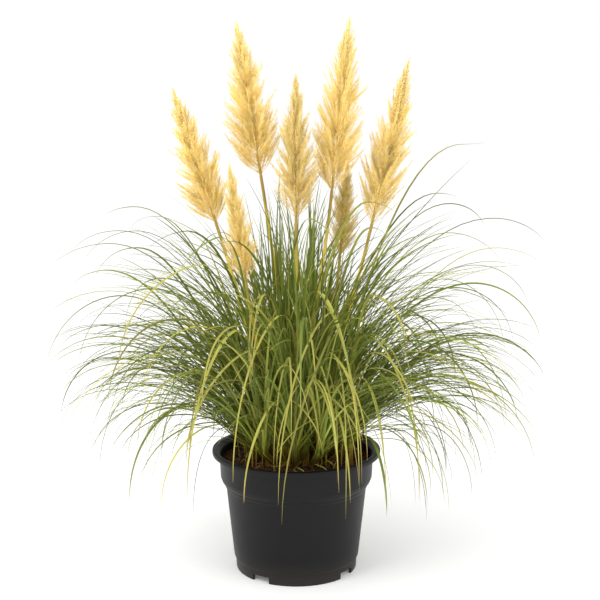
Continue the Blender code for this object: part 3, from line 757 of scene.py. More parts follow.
def random_leaf(tuft, cell, dice):
    """A leaf for one of the tuft's places, whose height and reach suit where the tuft stands."""
    azimuth = tuft.out_azimuth + CELL_OFFSETS[cell] + dice.uniform(-OFFSET_SPREAD, OFFSET_SPREAD)
    tier = MIDDLE_TIER - TIER_FALL * tuft.share + FRONT_LIFT * share_of_front(azimuth)
    tier += dice.uniform(-TIER_SPREAD, TIER_SPREAD)
    if tier > 1:
        tip = polar(azimuth, dice.uniform(*UPRIGHT_REACHES), dice.uniform(*UPRIGHT_HEIGHTS))
        return tuft.leaf(cell, None, tip)
    columns = zip(*ARCH_TIERS)
    steps = np.linspace(0, 1, len(ARCH_TIERS))
    crown_reach, crown_height, tip_reach, tip_height = (np.interp(tier, steps, c) for c in columns)
    size = dice.uniform(*SIZES)
    rise = dice.uniform(*RISES)
    crown = polar(azimuth, crown_reach * size, crown_height * rise)
    tip = polar(azimuth + dice.uniform(-TIP_SPREAD, TIP_SPREAD), tip_reach * size, tip_height * rise)
    return tuft.leaf(cell, crown, tip)


def grow_clump(stems):
    """Places the outline's leaves first, then fills the other places with random ones that are clear."""
    dice = random.Random(SEED)
    clump = Clump({name: foot for name, (_, _, _, foot) in stems.items()})
    for name, (plume_foot, plume_tip, width, _) in stems.items():
        line = stem_line(clump.stem_sites[name], plume_foot, plume_tip)
        clump.taken.append((name, Rods(line, np.full(len(line), STEM_RADIUS))))
        along = np.linspace(0, 1, PLUME_RODS)
        axis = np.linspace(plume_foot, plume_tip, PLUME_RODS)
        clump.taken.append((name, Rods(axis, width / 2 * plume_shape(along))))
    for leaves in (FRONT_LEAVES, LEFT_LEAVES, RIGHT_LEAVES, BACK_LEAVES):
        for leaf in leaves:
            clump.place(polar(*leaf[:3]), polar(*leaf[3:]))
    for leaf in UPRIGHT_LEAVES:
        clump.place(None, polar(*leaf))
    for tuft in clump.tufts:
        for cell in range(LEAVES_PER_TUFT):
            for _ in range(TRIES_PER_LEAF):
                if tuft.leaves[cell] is not None:
                    break
                leaf = random_leaf(tuft, cell, dice)
                if clump.is_clear(tuft, leaf):
                    clump.add_leaf(tuft, cell, leaf)
    return clump


def stem_handles(site, plume_foot, plume_tip):
    """The Bezier points of a stem: straight up from the soil, and in line with its plume at the top."""
    axis = unit(np.subtract(plume_tip, plume_foot))
    top = np.array(plume_foot) - axis * PLUME_FOOT_GAP
    reach = np.linalg.norm(top - site)
    return site, site + UP * reach * STEM_FOOT_HANDLE, top - axis * reach * STEM_TOP_HANDLE, top


def stem_line(site, plume_foot, plume_tip):
    handles = stem_handles(site, plume_foot, plume_tip)
    return np.array([bezier(*handles, t) for t in np.linspace(0, 1, STEM_RINGS + 1)])


def plume_shape(v):
    """How wide a plume is at share v of its length, against its widest."""
    return profile(PLUME_WIDTHS, v)


def plume_locks(width, dice):
    """A plume's locks from its foot up: each one's height, then the height, angle and reach of its tip."""
    locks = []
    for number, levels in enumerate(zip(PLUME_LEVELS, PLUME_LEVELS[1:])):
        middle_v = sum(levels) / 2
        for i in range(PLUME_SIDES):
            rise = LOCK_RISE + (TOP_LOCK_RISE - LOCK_RISE) * middle_v / PLUME_LEVELS[-1]
            tip_v = middle_v + rise * dice.uniform(*LOCK_RISES)
            turn = PLUME_TWIST * (number + 0.5) + i + 0.5 + dice.uniform(-LOCK_SWAY, LOCK_SWAY)
            reach = width / 2 * plume_shape(tip_v) * dice.uniform(*LOCK_REACHES)
            locks.append((middle_v, tip_v, turn * math.tau / PLUME_SIDES, reach))
    return locks


class Nodes:
    """A material's node tree, with short calls that add a node and link its inputs."""

    def __init__(self, name):
        self.material = bpy.data.materials.new(name)
        self.material.use_nodes = True
        self.tree = self.material.node_tree
        self.shader = self.tree.nodes["Principled BSDF"]

    def set(self, node, inputs):
        for key, value in inputs.items():
            socket = node.inputs[key]
            if isinstance(value, bpy.types.NodeSocket):
                self.tree.links.new(value, socket)
            elif socket.type == "RGBA":
                socket.default_value = (*value, 1)
            else:
                socket.default_value = value

    def surface(self, inputs):
        """Sets the shader's inputs and gives the finished material."""
        self.set(self.shader, inputs)
        return self.material

    def add(self, kind, settings=None, inputs=None):
        node = self.tree.nodes.new("ShaderNode" + kind)
        for key, value in (settings or {}).items():
            setattr(node, key, value)
        self.set(node, inputs or {})
        return node

    def place(self):
        """The point on the surface, in the object's metres."""
        return self.add("TexCoord").outputs["Object"]

    def noise(self, place, scale, detail=3.0, roughness=0.5):
        inputs = {"Vector": place, "Scale": scale, "Detail": detail, "Roughness": roughness}
        return self.add("TexNoise", inputs=inputs).outputs["Fac"]

    def spread(self, value, low, high, to_low=0.0, to_high=1.0):
        """The value's range from low to high, taken to another range and kept inside it."""
        inputs = {"Value": value, "From Min": low, "From Max": high, "To Min": to_low, "To Max": to_high}
        return self.add("MapRange", inputs=inputs).outputs["Result"]

    def math(self, operation, first, second):
        return self.add("Math", {"operation": operation}, {0: first, 1: second}).outputs["Value"]

    def ramp(self, value, *stops):
        """A colour for each value, from pairs of place and screen colour."""
        node = self.add("ValToRGB", inputs={"Fac": value})
        elements = node.color_ramp.elements
        while len(elements) < len(stops):
            elements.new(0.5)
        for element, (place, colour) in zip(elements, stops):
            element.position = place
            element.color = (*srgb(*colour), 1)
        return node.outputs["Color"]

    def mix(self, share, first, second):
        node = self.add("Mix", {"data_type": "RGBA"})
        self.set(node, {0: share, 6: first, 7: second})
        return node.outputs[2]

    def scaled(self, colour, scale):
        node = self.add("VectorMath", {"operation": "SCALE"}, {0: colour, "Scale": scale})
        return node.outputs["Vector"]

    def attribute(self, name):
        """The red, green and blue of a mesh's colour attribute, then its alpha."""
        node = self.add("Attribute", {"attribute_name": name})
        parts = self.add("SeparateColor", inputs={"Color": node.outputs["Color"]}).outputs
        return parts["Red"], parts["Green"], parts["Blue"], node.outputs["Alpha"]

    def bump(self, height, strength, distance):
        inputs = {"Height": height, "Strength": strength, "Distance": distance}
        return self.add("Bump", inputs=inputs).outputs["Normal"]


def srgb(red, green, blue):
    """A linear colour from the 0 to 255 values of a screen colour."""
    shares = [value / 255 for value in (red, green, blue)]
    return tuple(s / 12.92 if s <= 0.04045 else ((s + 0.055) / 1.055) ** 2.4 for s in shares)


def leaf_material():
    """Reddish at the foot, then green or yellow-green, and dry at the tip, with a lighter rib and edges."""
    n = Nodes("leaf")
    along, tone, yellow, side = n.attribute("leaf")
    green = n.ramp(
        along,
        (0.00, (96, 46, 16)),
        (0.05, (118, 80, 26)),
        (0.13, (90, 100, 28)),
        (0.40, (84, 106, 32)),
        (0.72, (88, 112, 42)),
        (0.92, (118, 134, 64)),
        (1.00, (176, 172, 112)),
    )
    golden = n.ramp(
        along,
        (0.00, (150, 84, 30)),
        (0.06, (170, 140, 50)),
        (0.25, (146, 152, 58)),
        (0.60, (182, 182, 90)),
        (0.90, (184, 174, 88)),
        (1.00, (178, 150, 90)),
    )
    shaded = n.scaled(n.mix(yellow, green, golden), n.spread(tone, 0, 1, 0.34, 1.56))
    rib = n.spread(side, 0.0, 0.30, 0.35, 0.0)
    edge = n.spread(side, 0.70, 1.0, 0.0, 0.30)
    lined = n.mix(n.math("ADD", rib, edge), shaded, srgb(168, 174, 76))
    place = n.place()
    blotch = n.spread(n.noise(place, 38.0), 0.35, 0.70, 0.0, 0.30)
    return n.surface({
        "Base Color": n.mix(blotch, lined, srgb(150, 146, 50)),
        "Roughness": n.spread(n.noise(place, 160.0), 0.3, 0.7, 0.42, 0.60),
        "Specular IOR Level": 0.18,
    })


def plume_material():
    """Deep gold where hairs leave their branch, and pale cream at their ends: partly the hairs' own colour,
    and partly painted shade in the plume's dense inside and a painted highlight on its fringe.
    """
    n = Nodes("plume")
    along, tone, _, _ = n.attribute("leaf")
    # the deep gold at the hair roots is partly painted shade of the plume's dense inside, and the pale ends
    # are partly a painted highlight
    colour = n.ramp(
        along,
        (0.00, (252, 212, 108)),
        (0.35, (255, 230, 142)),
        (0.75, (255, 241, 178)),
        (1.00, (255, 247, 208)),
    )
    return n.surface({
        "Base Color": n.scaled(colour, n.spread(tone, 0, 1, 0.66, 1.12)),
        "Roughness": 0.75,
        "Specular IOR Level": 0.15,
        "Sheen Weight": 0.10,
        "Sheen Roughness": 0.4,
    })


def cane_material():
    """A yellow-green cane with fine streaks, browner at its foot. Its last stretch is the rachis."""
    n = Nodes("cane")
    along, _, _, _ = n.attribute("leaf")
    colour = n.ramp(
        along,
        (0.00, (128, 88, 36)),
        (0.15, (138, 140, 44)),
        (0.55, (204, 184, 56)),
        (0.80, (228, 196, 66)),
        (0.93, (140, 116, 40)),
        (1.00, (170, 130, 56)),
    )
    streaks = n.add("Mapping", inputs={"Vector": n.place(), "Scale": (260, 260, 6)}).outputs["Vector"]
    fine = n.noise(streaks, 1.0)
    return n.surface({
        "Base Color": n.mix(n.spread(fine, 0.3, 0.7, 0.0, 0.4), colour, srgb(214, 200, 110)),
        "Roughness": n.spread(fine, 0.2, 0.8, 0.38, 0.55),
        "Specular IOR Level": 0.4,
    })


def peat_material():
    """Moist peat: nearly black between the crumbs, and brown on them, with a few tan specks."""
    n = Nodes("peat")
    place = n.place()
    coarse = n.noise(place, 90.0, 6.0, 0.65)
    fine = n.noise(place, 420.0, 4.0, 0.6)
    brown = n.ramp(coarse, (0.30, (22, 13, 8)), (0.50, (58, 36, 22)), (0.66, (98, 62, 38)))
    return n.surface({
        "Base Color": n.mix(n.spread(fine, 0.62, 0.72, 0.0, 0.8), brown, srgb(166, 106, 58)),
        "Roughness": n.spread(coarse, 0.3, 0.7, 0.75, 0.98),
        "Specular IOR Level": 0.25,
        "Normal": n.bump(fine, 0.6, 0.0012),
    })


def litter_material():
    """Dry straw and bark fibres, from rust to pale tan."""
    n = Nodes("straw")
    _, tone, _, _ = n.attribute("leaf")
    browns = ((0.0, (96, 52, 26)), (0.4, (160, 96, 44)), (0.7, (196, 150, 84)), (1.0, (214, 190, 130)))
    colour = n.ramp(tone, *browns)
    patchy = n.spread(n.noise(n.place(), 220.0), 0.3, 0.7, 0.0, 0.5)
    return n.surface({"Base Color": n.mix(patchy, colour, srgb(110, 74, 40)), "Roughness": 0.8})


def pot_material():
    """Charcoal moulded plastic with a fine satin grain, dusty near the floor, and light grey patches on its
    lip, stronger toward its top edge: partly scuffs and partly a painted highlight.
    """
    n = Nodes("moulded_plastic")
    place = n.place()
    cloud = n.noise(place, 9.0, 4.0)
    height = n.add("SeparateXYZ", inputs={"Vector": place}).outputs["Z"]
    plain = n.mix(n.spread(cloud, 0.3, 0.7), srgb(12, 12, 13), srgb(17, 17, 19))
    dusty = n.mix(n.spread(height, 0.0, 0.05, 0.10, 0.0), plain, srgb(120, 112, 100))
    # light grey patches on the lip, stronger toward its top edge: partly scuff marks, partly a painted
    # highlight of the rim
    lip_scuffs_and_highlight = n.spread(n.noise(place, 60.0, 5.0, 0.7), 0.62, 0.75, 0.0, 0.18)
    lip = n.spread(height, POT_HEIGHT - LIP_HEIGHT, POT_HEIGHT, 0.0, 1.0)
    return n.surface({
        "Base Color": n.mix(n.math("MULTIPLY", lip_scuffs_and_highlight, lip), dusty, srgb(120, 122, 126)),
        "Roughness": n.spread(cloud, 0.3, 0.7, 0.42, 0.52),
        "Specular IOR Level": 0.20,
        "Normal": n.bump(n.noise(place, 900.0, 2.0), 0.12, 0.0003),
    })


def floor_material():
    return Nodes("studio_floor").surface({
        "Base Color": (0.93, 0.93, 0.93),
        "Roughness": 0.9,
        "Specular IOR Level": 0.1,
        "Emission Color": (1, 1, 1),
        "Emission Strength": 0.12,
    })


def grid_quads(rows, columns):
    """Quads between neighbouring points of a grid, as point numbers."""
    first = np.arange(rows - 1)[:, None] * columns + np.arange(columns - 1)[None]
    return np.stack([first, first + 1, first + 1 + columns, first + columns], axis=-1).reshape(-1, 4)


class Sheet:
    """Gathers strips of quads for one mesh. Every strip has a row of its own in the texture map."""

    def __init__(self):
        self.points = []
        self.quads = []
        self.tints = []
        self.places = []
        self.rows = []
        self.count = 0

    def add(self, points, along, across, tone, yellow=0.0, colours=(0, 1)):
        """A strip: points in a grid, how far along it each of their rows is, and how far across each column.

        Its 'leaf' attribute is the place in the material's colours, the tone, the yellow and how far aside.
        """
        rows, columns = points.shape[:2]
        tints = np.empty((rows, columns, 4))
        tints[..., 0] = np.interp(along, (0, 1), colours)[:, None]
        tints[..., 1] = tone
        tints[..., 2] = yellow
        tints[..., 3] = np.abs(across)
        places = np.stack(np.broadcast_arrays(along[:, None], across[None]), axis=-1)
        self.quads.append(grid_quads(rows, columns) + self.count)
        self.rows.append(np.full(rows * columns, len(self.rows)))
        self.points.append(points.reshape(-1, 3))
        self.tints.append(tints.reshape(-1, 4))
        self.places.append(places.reshape(-1, 2))
        self.count += rows * columns

    def mesh(self, name):
        points, quads, tints, places, rows = map(
            np.concatenate, (self.points, self.quads, self.tints, self.places, self.rows)
        )
        across = (rows + 0.5 + ROW_FILL * places[:, 1]) / len(self.rows)
        along = MAP_MARGIN + (1 - 2 * MAP_MARGIN) * places[:, 0]
        return make_mesh(name, points, quads, np.stack([along, across], axis=1), tints)


def make_mesh(name, points, quads, uvs, tints):
    mesh = bpy.data.meshes.new(name)
    mesh.vertices.add(len(points))
    mesh.vertices.foreach_set("co", np.ascontiguousarray(points, np.float32).ravel())
    mesh.loops.add(quads.size)
    mesh.loops.foreach_set("vertex_index", quads.ravel().astype(np.int32))
    mesh.polygons.add(len(quads))
    mesh.polygons.foreach_set("loop_start", np.arange(0, quads.size, 4, dtype=np.int32))
    mesh.update(calc_edges=True)
    layer = mesh.uv_layers.new(name="OFBake")
    layer.data.foreach_set("uv", uvs[quads.ravel()].astype(np.float32).ravel())
    attribute = mesh.color_attributes.new("leaf", "FLOAT_COLOR", "POINT")
    attribute.data.foreach_set("color", tints.astype(np.float32).ravel())
    mesh.polygons.foreach_set("use_smooth", np.ones(len(quads), bool))
    return mesh


def add_to_scene(name, data):
    thing = bpy.data.objects.new(name, data)
    bpy.context.scene.collection.objects.link(thing)
    return thing


def add_piece(name, mesh, material, replaced=()):
    """A piece of the plant, which rides on the one body and stands for the CAD nodes that it replaces."""
    piece = add_to_scene(name, mesh)
    mesh.materials.append(material)
    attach(piece, "root")
    if replaced:
        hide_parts(*replaced)
    return piece


def along_line(points):
    """How far along the line each point is, from 0 to 1."""
    steps = np.linalg.norm(np.diff(points, axis=0), axis=1)
    return np.concatenate(([0], np.cumsum(steps))) / steps.sum()


def units(vectors):
    return vectors / np.linalg.norm(vectors, axis=-1, keepdims=True)


def leaf_strip(line, headings, half_widths, twist):
    """Left edge, rib and right edge of a folded leaf along a line, as a grid of points."""
    ahead = units(np.gradient(line, axis=0))
    across = np.cross(UP, headings)
    across = units(across - ahead * (across * ahead).sum(1, keepdims=True))
    upper = np.cross(ahead, across)
    cos, sin = np.cos(twist)[:, None], np.sin(twist)[:, None]
    across, upper = across * cos + upper * sin, upper * cos - across * sin
    half = half_widths[:, None]
    fold = upper * half * FOLD
    return np.stack([line - across * half + fold, line, line + across * half + fold], axis=1)


def add_leaf(sheet, line, headings, half_width, tone, yellow, dice):
    """One fine leaf into the sheet. It is widest near its middle and ends as a hair."""
    along = along_line(line)
    widths = half_width * profile(LEAF_TAPER, along)
    points = leaf_strip(line, headings, widths, along * TWIST * dice.uniform(-1, 1))
    sheet.add(points, along, STRIP_SIDES, tone, yellow)


def add_tube(sheet, line, radii, tone, colours=(0, 1), sides=TUBE_SIDES):
    """A round stalk along a line. Its front and back share one row of the map.

    Colours is the part of the material's range along a leaf that it shows, from its foot to its top.
    """
    ahead = units(np.gradient(line, axis=0))
    first = units(np.cross(ahead, TUBE_SIDEWAYS))
    second = np.cross(ahead, first)
    angles = np.linspace(0, math.tau, sides + 1)
    spokes = first[:, None] * np.cos(angles)[None, :, None] + second[:, None] * np.sin(angles)[None, :, None]
    points = line[:, None] + spokes * np.asarray(radii)[:, None, None]
    sheet.add(points, along_line(line), np.cos(angles), tone, colours=colours)


def foot_rings(start, base):
    """Points of a leaf from its start in the peat up to just below its base."""
    return [start + (base - start) * step / FOOT_RINGS for step in range(FOOT_RINGS)]


def solid_leaf_line(leaf, start, dice):
    """A smooth line of a leaf of the solids from its start in the peat, and how it faces at each point."""
    last = 1 if leaf.crown is None else 2
    arc = [leaf.point(t) for t in np.linspace(0, last, SOLID_LEAF_RINGS)]
    line = np.array(foot_rings(start, leaf.base) + arc)
    along = along_line(line)
    sideways = np.cross(UP, leaf.heading)
    swing = WAVER * dice.uniform(-1, 1) * np.sin(math.pi * along) * np.sin(math.tau * along)
    share = np.clip(along / TURN_SHARE, 0, 1)[:, None]
    headings = units(leaf.base_heading * (1 - share) + leaf.heading * share)
    return line + sideways * swing[:, None], headings


def fan_line(start, base, azimuth, lean, length, bend, power, swing):
    """A leaf that leaves its base straight and bends over more and more, with all its angles in degrees.

    Lean is its angle to the vertical at the base, and bend is how much more it leans at its tip.
    """
    share = np.linspace(0, 1, FAN_RINGS)
    middle = (share[:-1] + share[1:]) / 2
    tilt = np.radians(np.minimum(lean + bend * middle**power, MOST_TILT))
    turn = np.radians(azimuth + swing * middle**2)
    steps = np.stack([np.sin(tilt) * np.cos(turn), np.sin(tilt) * np.sin(turn), np.cos(tilt)], axis=1)
    path = np.concatenate(([[0, 0, 0]], np.cumsum(steps, axis=0))) * length / (FAN_RINGS - 1)
    line = np.concatenate((foot_rings(start, base), base + path))
    turns = np.radians(azimuth + swing * np.concatenate((np.zeros(FOOT_RINGS), share**2)))
    return line, np.stack([np.cos(turns), np.sin(turns), np.zeros(len(turns))], axis=1)


def leaf_foot(tuft, aside):
    """Where a leaf of the tuft leaves the peat, nearer the middle of the pot than the tuft's sheath."""
    return tuft.site * (FOOT_PULL, FOOT_PULL, 1) + aside * FOOT_GATHER


def fan_leaf(tuft, is_arch, dice):
    """The line and headings of one more leaf of the tuft: one of its fan, or one that arches over."""
    if tuft.share < MIDDLE_SHARE:
        azimuth = dice.uniform(-180, 180)
    else:
        azimuth = tuft.out_azimuth + dice.gauss(0, FAN_SPREAD)
    aside = polar(dice.uniform(0, 360), SHEATH_RADIUS * dice.uniform(*FOOT_SPREAD), 0)
    if is_arch:
        lean = dice.uniform(*ARCH_LEAN)
        length = dice.uniform(*ARCH_LENGTH)
        bend = dice.uniform(*ARCH_BEND)
        power = dice.uniform(*ARCH_POWERS)
    else:
        front = share_of_front(azimuth)
        lean = profile(FAN_LEAN, tuft.share) * (1 - FRONT_LESS_LEAN * front) + dice.gauss(0, FAN_LEAN_SPREAD)
        lean = max(LEAST_LEAN, lean)
        length = profile(FAN_LENGTH, lean) * dice.uniform(*FAN_SIZES)
        bend = profile(FAN_BEND, lean) * dice.uniform(*FAN_BEND_SIZES) * (1 - FRONT_LESS_BEND * front)
        power = dice.uniform(*FAN_POWERS)
        if dice.random() < SHORT_SHARE:
            short = dice.uniform(*SHORT_SIZES)
            length *= short
            bend *= short**power
    swing = dice.gauss(0, FAN_SWING)
    ends = (leaf_foot(tuft, aside), tuft.top + aside)
    line, headings = fan_line(*ends, azimuth, lean, length, bend, power, swing)
    reach = np.linalg.norm(line[:, :2], axis=1).max()
    if reach > MOST_REACH:
        line, headings = fan_line(*ends, azimuth, lean, length * MOST_REACH / reach, bend, power, swing)
    return line, headings


def seen(points):
    """How far across and up the points appear from the photograph's viewpoint."""
    depth = points[..., 1] - CAMERA_PLACE[1]
    return (points[..., 0] - CAMERA_PLACE[0]) / depth, (points[..., 2] - CAMERA_PLACE[2]) / depth


def hides_plume(line):
    """Whether a leaf passes in front of a plume, as seen from the photograph's viewpoint."""
    across, up = seen(line)
    for name in CLEAR_PLUMES:
        foot, tip, width, _ = PLUMES[name]
        (foot_across, tip_across), (foot_up, tip_up) = seen(np.array((foot, tip)))
        share = (up - foot_up) / (tip_up - foot_up)
        away = np.abs(across - foot_across - share * (tip_across - foot_across)) * -CAMERA_PLACE[1]
        nearer = line[:, 1] < foot[1]
        if (nearer & (share > 0) & (share < 1) & (away < CLEAR_SHARE * width * plume_shape(share))).any():
            return True
    return False


def clear_fan_leaf(tuft, dice):
    """A leaf of the fan that leaves the plumes in view, or the last one tried."""
    for _ in range(CLEAR_TRIES):
        line, headings = fan_leaf(tuft, False, dice)
        if not hides_plume(line):
            break
    return line, headings


def is_yellow(leaf, yellow_crowns):
    return leaf.crown is not None and any(np.allclose(leaf.crown, crown) for crown in yellow_crowns)


def leaf_tone(dice):
    return min(1, max(0, dice.gauss(*LEAF_TONE)))


def add_tuft(sheet, tuft, yellow_crowns, dice):
    """All the fine leaves and shoots of one tuft."""
    for leaf in tuft.leaves:
        if leaf is None:
            continue
        yellow = float(is_yellow(leaf, yellow_crowns))
        width = YELLOW_HALF_WIDTH if yellow else MAIN_HALF_WIDTH
        if leaf.crown is None:
            width = UPRIGHT_HALF_WIDTH
        if not yellow and dice.random() < GOLD_SHARE:
            yellow = dice.uniform(*GOLD)
        line, headings = solid_leaf_line(leaf, leaf_foot(tuft, leaf.base - tuft.top), dice)
        add_leaf(sheet, line, headings, width, leaf_tone(dice), yellow, dice)
    fan_leaves = FAN_LEAVES if tuft.share > MIDDLE_SHARE else MIDDLE_FAN_LEAVES
    for number in range(fan_leaves + ARCHES):
        is_arch = number >= fan_leaves
        line, headings = fan_leaf(tuft, True, dice) if is_arch else clear_fan_leaf(tuft, dice)
        width = dice.uniform(*FINE_HALF_WIDTH)
        yellow = 0.0
        if is_arch:
            width = YELLOW_HALF_WIDTH * dice.uniform(*ARCH_WIDTHS)
            yellow = dice.uniform(*ARCH_YELLOWS)
        elif dice.random() < GOLD_SHARE:
            yellow = dice.uniform(*GOLD)
        add_leaf(sheet, line, headings, width, leaf_tone(dice), yellow, dice)
    for shoot in range(TILLERS):
        azimuth = 360 * shoot / TILLERS + dice.uniform(-TILLER_TURN, TILLER_TURN)
        side = polar(azimuth, SHEATH_RADIUS * dice.uniform(*TILLER_SPREAD), 0)
        foot = leaf_foot(tuft, side)
        top = tuft.top + side * TILLER_GATHER + (tuft.top - tuft.site) * dice.uniform(*TILLER_RISES)
        line = foot + (top - foot) * np.linspace(0, 1, len(TILLER_RADII))[:, None]
        add_tube(sheet, line, TILLER_RADII, dice.random(), TILLER_COLOURS)


def front_arch(foot_x, crown_x, crown_z, tip_x, tip_z):
    """One of the long yellow leaves that arch over in front of all the others, and its start in the peat."""
    crown_y = ARCH_FRONT + ARCH_SLOPE * crown_z
    crown = np.array((crown_x, crown_y, crown_z))
    tip = np.array((tip_x, crown_y + ARCH_FALL, tip_z))
    start = np.array((foot_x, ARCH_FOOT_Y, SOIL_HEIGHT))
    base = start + UP * ARCH_FOOT_RISE
    toward = crown - base
    return Leaf(base, math.degrees(math.atan2(toward[1], toward[0])), crown, tip), start


def hanging_leaf(azimuth, dice):
    """A leaf from the edge of the clump that hangs over the pot's rim, and its start in the peat."""
    turn = dice.uniform(-HANG_FOOT_TURN, HANG_FOOT_TURN)
    start = polar(azimuth + turn, dice.uniform(*HANG_FOOT), SOIL_HEIGHT)
    base = start + polar(azimuth, HANG_FOOT_REACH, ARCH_FOOT_RISE)
    crown = polar(azimuth, dice.uniform(*HANG_CROWN_REACH), dice.uniform(*HANG_CROWN_HEIGHT))
    turn = dice.uniform(-HANG_TURN, HANG_TURN)
    tip = crown + polar(azimuth + turn, dice.uniform(*HANG_OUT), -dice.uniform(*HANG_FALL))
    return Leaf(base, azimuth, crown, tip), start


def short_leaf(dice):
    """A short dry leaf at the edge of the clump, bent down onto the peat, and its start in the peat."""
    azimuth = dice.uniform(-180, 180)
    start = polar(azimuth, dice.uniform(*SHORT_LEAF_FOOT), SOIL_HEIGHT)
    base = start + polar(azimuth, *SHORT_LEAF_BASE)
    turn = dice.uniform(-SHORT_CROWN_TURN, SHORT_CROWN_TURN)
    crown_reach = dice.uniform(*SHORT_CROWN_REACH)
    crown = start + polar(azimuth + turn, crown_reach, dice.uniform(*SHORT_CROWN_HEIGHT))
    room = SHORT_LEAF_REACH - np.linalg.norm(crown[:2])
    turn = dice.uniform(-SHORT_TIP_TURN, SHORT_TIP_TURN)
    tip = crown + polar(azimuth + turn, min(dice.uniform(*SHORT_TIP_REACH), room), 0)
    tip[2] = peat_height(tip[0], tip[1]) + SHORT_TIP_RISE
    return Leaf(base, azimuth, crown, tip), start


def add_extra_leaves(sheets, dice):
    """The short leaves over the peat, the arching leaves of the front, and those that hang over the rim."""
    for _ in range(SHORT_LEAVES):
        line, headings = solid_leaf_line(*short_leaf(dice), dice)
        width = dice.uniform(*SHORT_HALF_WIDTH)
        add_leaf(sheets["middle"], line, headings, width, dice.uniform(*SHORT_TONES), 1.0, dice)
    for arch in FRONT_ARCHES:
        line, headings = solid_leaf_line(*front_arch(*arch), dice)
        width = dice.uniform(*ARCH_HALF_WIDTH)
        add_leaf(sheets["front"], line, headings, width, dice.uniform(*ARCH_TONES), 1.0, dice)
    for sector, azimuths in HANGING_AZIMUTHS.items():
        for _ in range(HANGING_LEAVES):
            line, headings = solid_leaf_line(*hanging_leaf(dice.uniform(*azimuths), dice), dice)
            width = dice.uniform(*FINE_HALF_WIDTH)
            tone = leaf_tone(dice)
            add_leaf(sheets[sector], line, headings, width, tone, dice.uniform(*HANG_YELLOWS), dice)


def build_leaves(clump, material):
    """One piece for the tufts in the middle and one for each side, so each stands for a few CAD nodes."""
    dice = random.Random(SEED + 1)
    yellow_crowns = [polar(*leaf[:3]) for leaf in FRONT_LEAVES[:YELLOW_FRONT_LEAVES]]
    yellow_crowns += [polar(*leaf[:3]) for leaf in LEFT_LEAVES if leaf[0] in YELLOW_LEFT_AZIMUTHS]
    sheets = {}
    nodes = {}
    for number, tuft in enumerate(clump.tufts, start=1):
        sector = "middle"
        if tuft.share > MIDDLE_SHARE:
            sector = SECTORS[round(tuft.out_azimuth / (360 / len(SECTORS))) % len(SECTORS)]
        add_tuft(sheets.setdefault(sector, Sheet()), tuft, yellow_crowns, dice)
        nodes.setdefault(sector, []).append(f"leaf_tuft_{number:02d}")
    add_extra_leaves(sheets, dice)
    for sector, sheet in sheets.items():
        name = f"leaves_{sector}"
        add_piece(name, sheet.mesh(name), material, nodes[sector])


def add_stalk(name, line, radii, material, replaced=(), **looks):
    """One round stalk as a piece of its own."""
    sheet = Sheet()
    add_tube(sheet, line, radii, 0.5, **looks)
    add_piece(name, sheet.mesh(name), material, replaced)


def build_canes(clump, material):
    for name, (foot, tip, _, _) in PLUMES.items():
        handles = stem_handles(clump.stem_sites[name], foot, tip)
        line = np.array([bezier(*handles, t) for t in np.linspace(0, 1, CANE_RINGS)])
        along = along_line(line)
        radii = STEM_RADIUS * profile(CANE_TAPER, along)
        for joint in CANE_JOINTS:
            radii *= 1 + JOINT_BULGE * np.exp(-(((along - joint) / JOINT_LENGTH) ** 2))
        add_stalk(f"cane_{name}", line, radii, material, [f"stem_{name}"], sides=CANE_SIDES)


def across_frame(ahead, dice):
    """A random unit vector square to each direction."""
    wild = dice.normal(size=ahead.shape)
    return units(wild - ahead * (wild * ahead).sum(-1, keepdims=True))


def ribbon_arrays(lines, across, half_widths, tone):
    """Points, quads, map places and tints of flat ribbons, whose lines and sides are (ribbon, ring, 3)."""
    count, rings = lines.shape[:2]
    side = across * half_widths[..., None]
    points = np.stack([lines - side, lines + side], axis=2).reshape(-1, 3)
    quads = grid_quads(rings, 2)[None] + (np.arange(count) * rings * 2)[:, None, None]
    along = np.broadcast_to(np.linspace(0, 1, rings)[None, :, None], (count, rings, 2))
    tones = np.broadcast_to(np.asarray(tone)[:, None, None], (count, rings, 2))
    tints = np.zeros((count, rings, 2, 4))
    tints[..., 0] = along
    tints[..., 1] = tones
    nudge = np.array((-RIBBON_NUDGE, RIBBON_NUDGE))
    uvs = np.stack([along, tones], axis=-1) * (1 - 2 * RIBBON_MARGIN) + RIBBON_MARGIN
    uvs[..., 1] += nudge
    return points, quads.reshape(-1, 4), uvs.reshape(-1, 2), tints.reshape(-1, 4)


def grown_branches(kind, width, dice):
    """Feet, tips and reaches of one kind of lock or branch, at random heights of a plume."""
    low = dice.uniform(*kind["feet"], kind["count"])
    rise = kind["rise"][0] + (kind["rise"][1] - kind["rise"][0]) * low
    high = low + rise * dice.uniform(*kind["rises"], kind["count"])
    return low, high, width / 2 * plume_shape(high) * dice.uniform(*kind["reaches"], kind["count"])


def all_locks(locks, width, dice):
    """The foot, tip, angle and reach of the solid's locks and of fine ones between. Some are drawn out."""
    fine_low, fine_high, fine_reach = grown_branches(FINE_LOCKS, width, dice)
    fine = np.stack((fine_low, fine_high, dice.uniform(0, math.tau, len(fine_low)), fine_reach))
    foot_v, tip_v, angle, reach = np.concatenate((np.array(locks).T, fine), axis=1)
    strays = (foot_v > STRAY_FEET[0]) & (foot_v < STRAY_FEET[1])
    strays &= dice.uniform(0, 1, len(foot_v)) < STRAY_SHARE
    stretch = np.where(strays, dice.uniform(*STRAY_REACHES, len(foot_v)), 1)
    return foot_v, foot_v + (tip_v - foot_v) * (1 + (stretch - 1) * STRAY_RISE), angle, reach * stretch


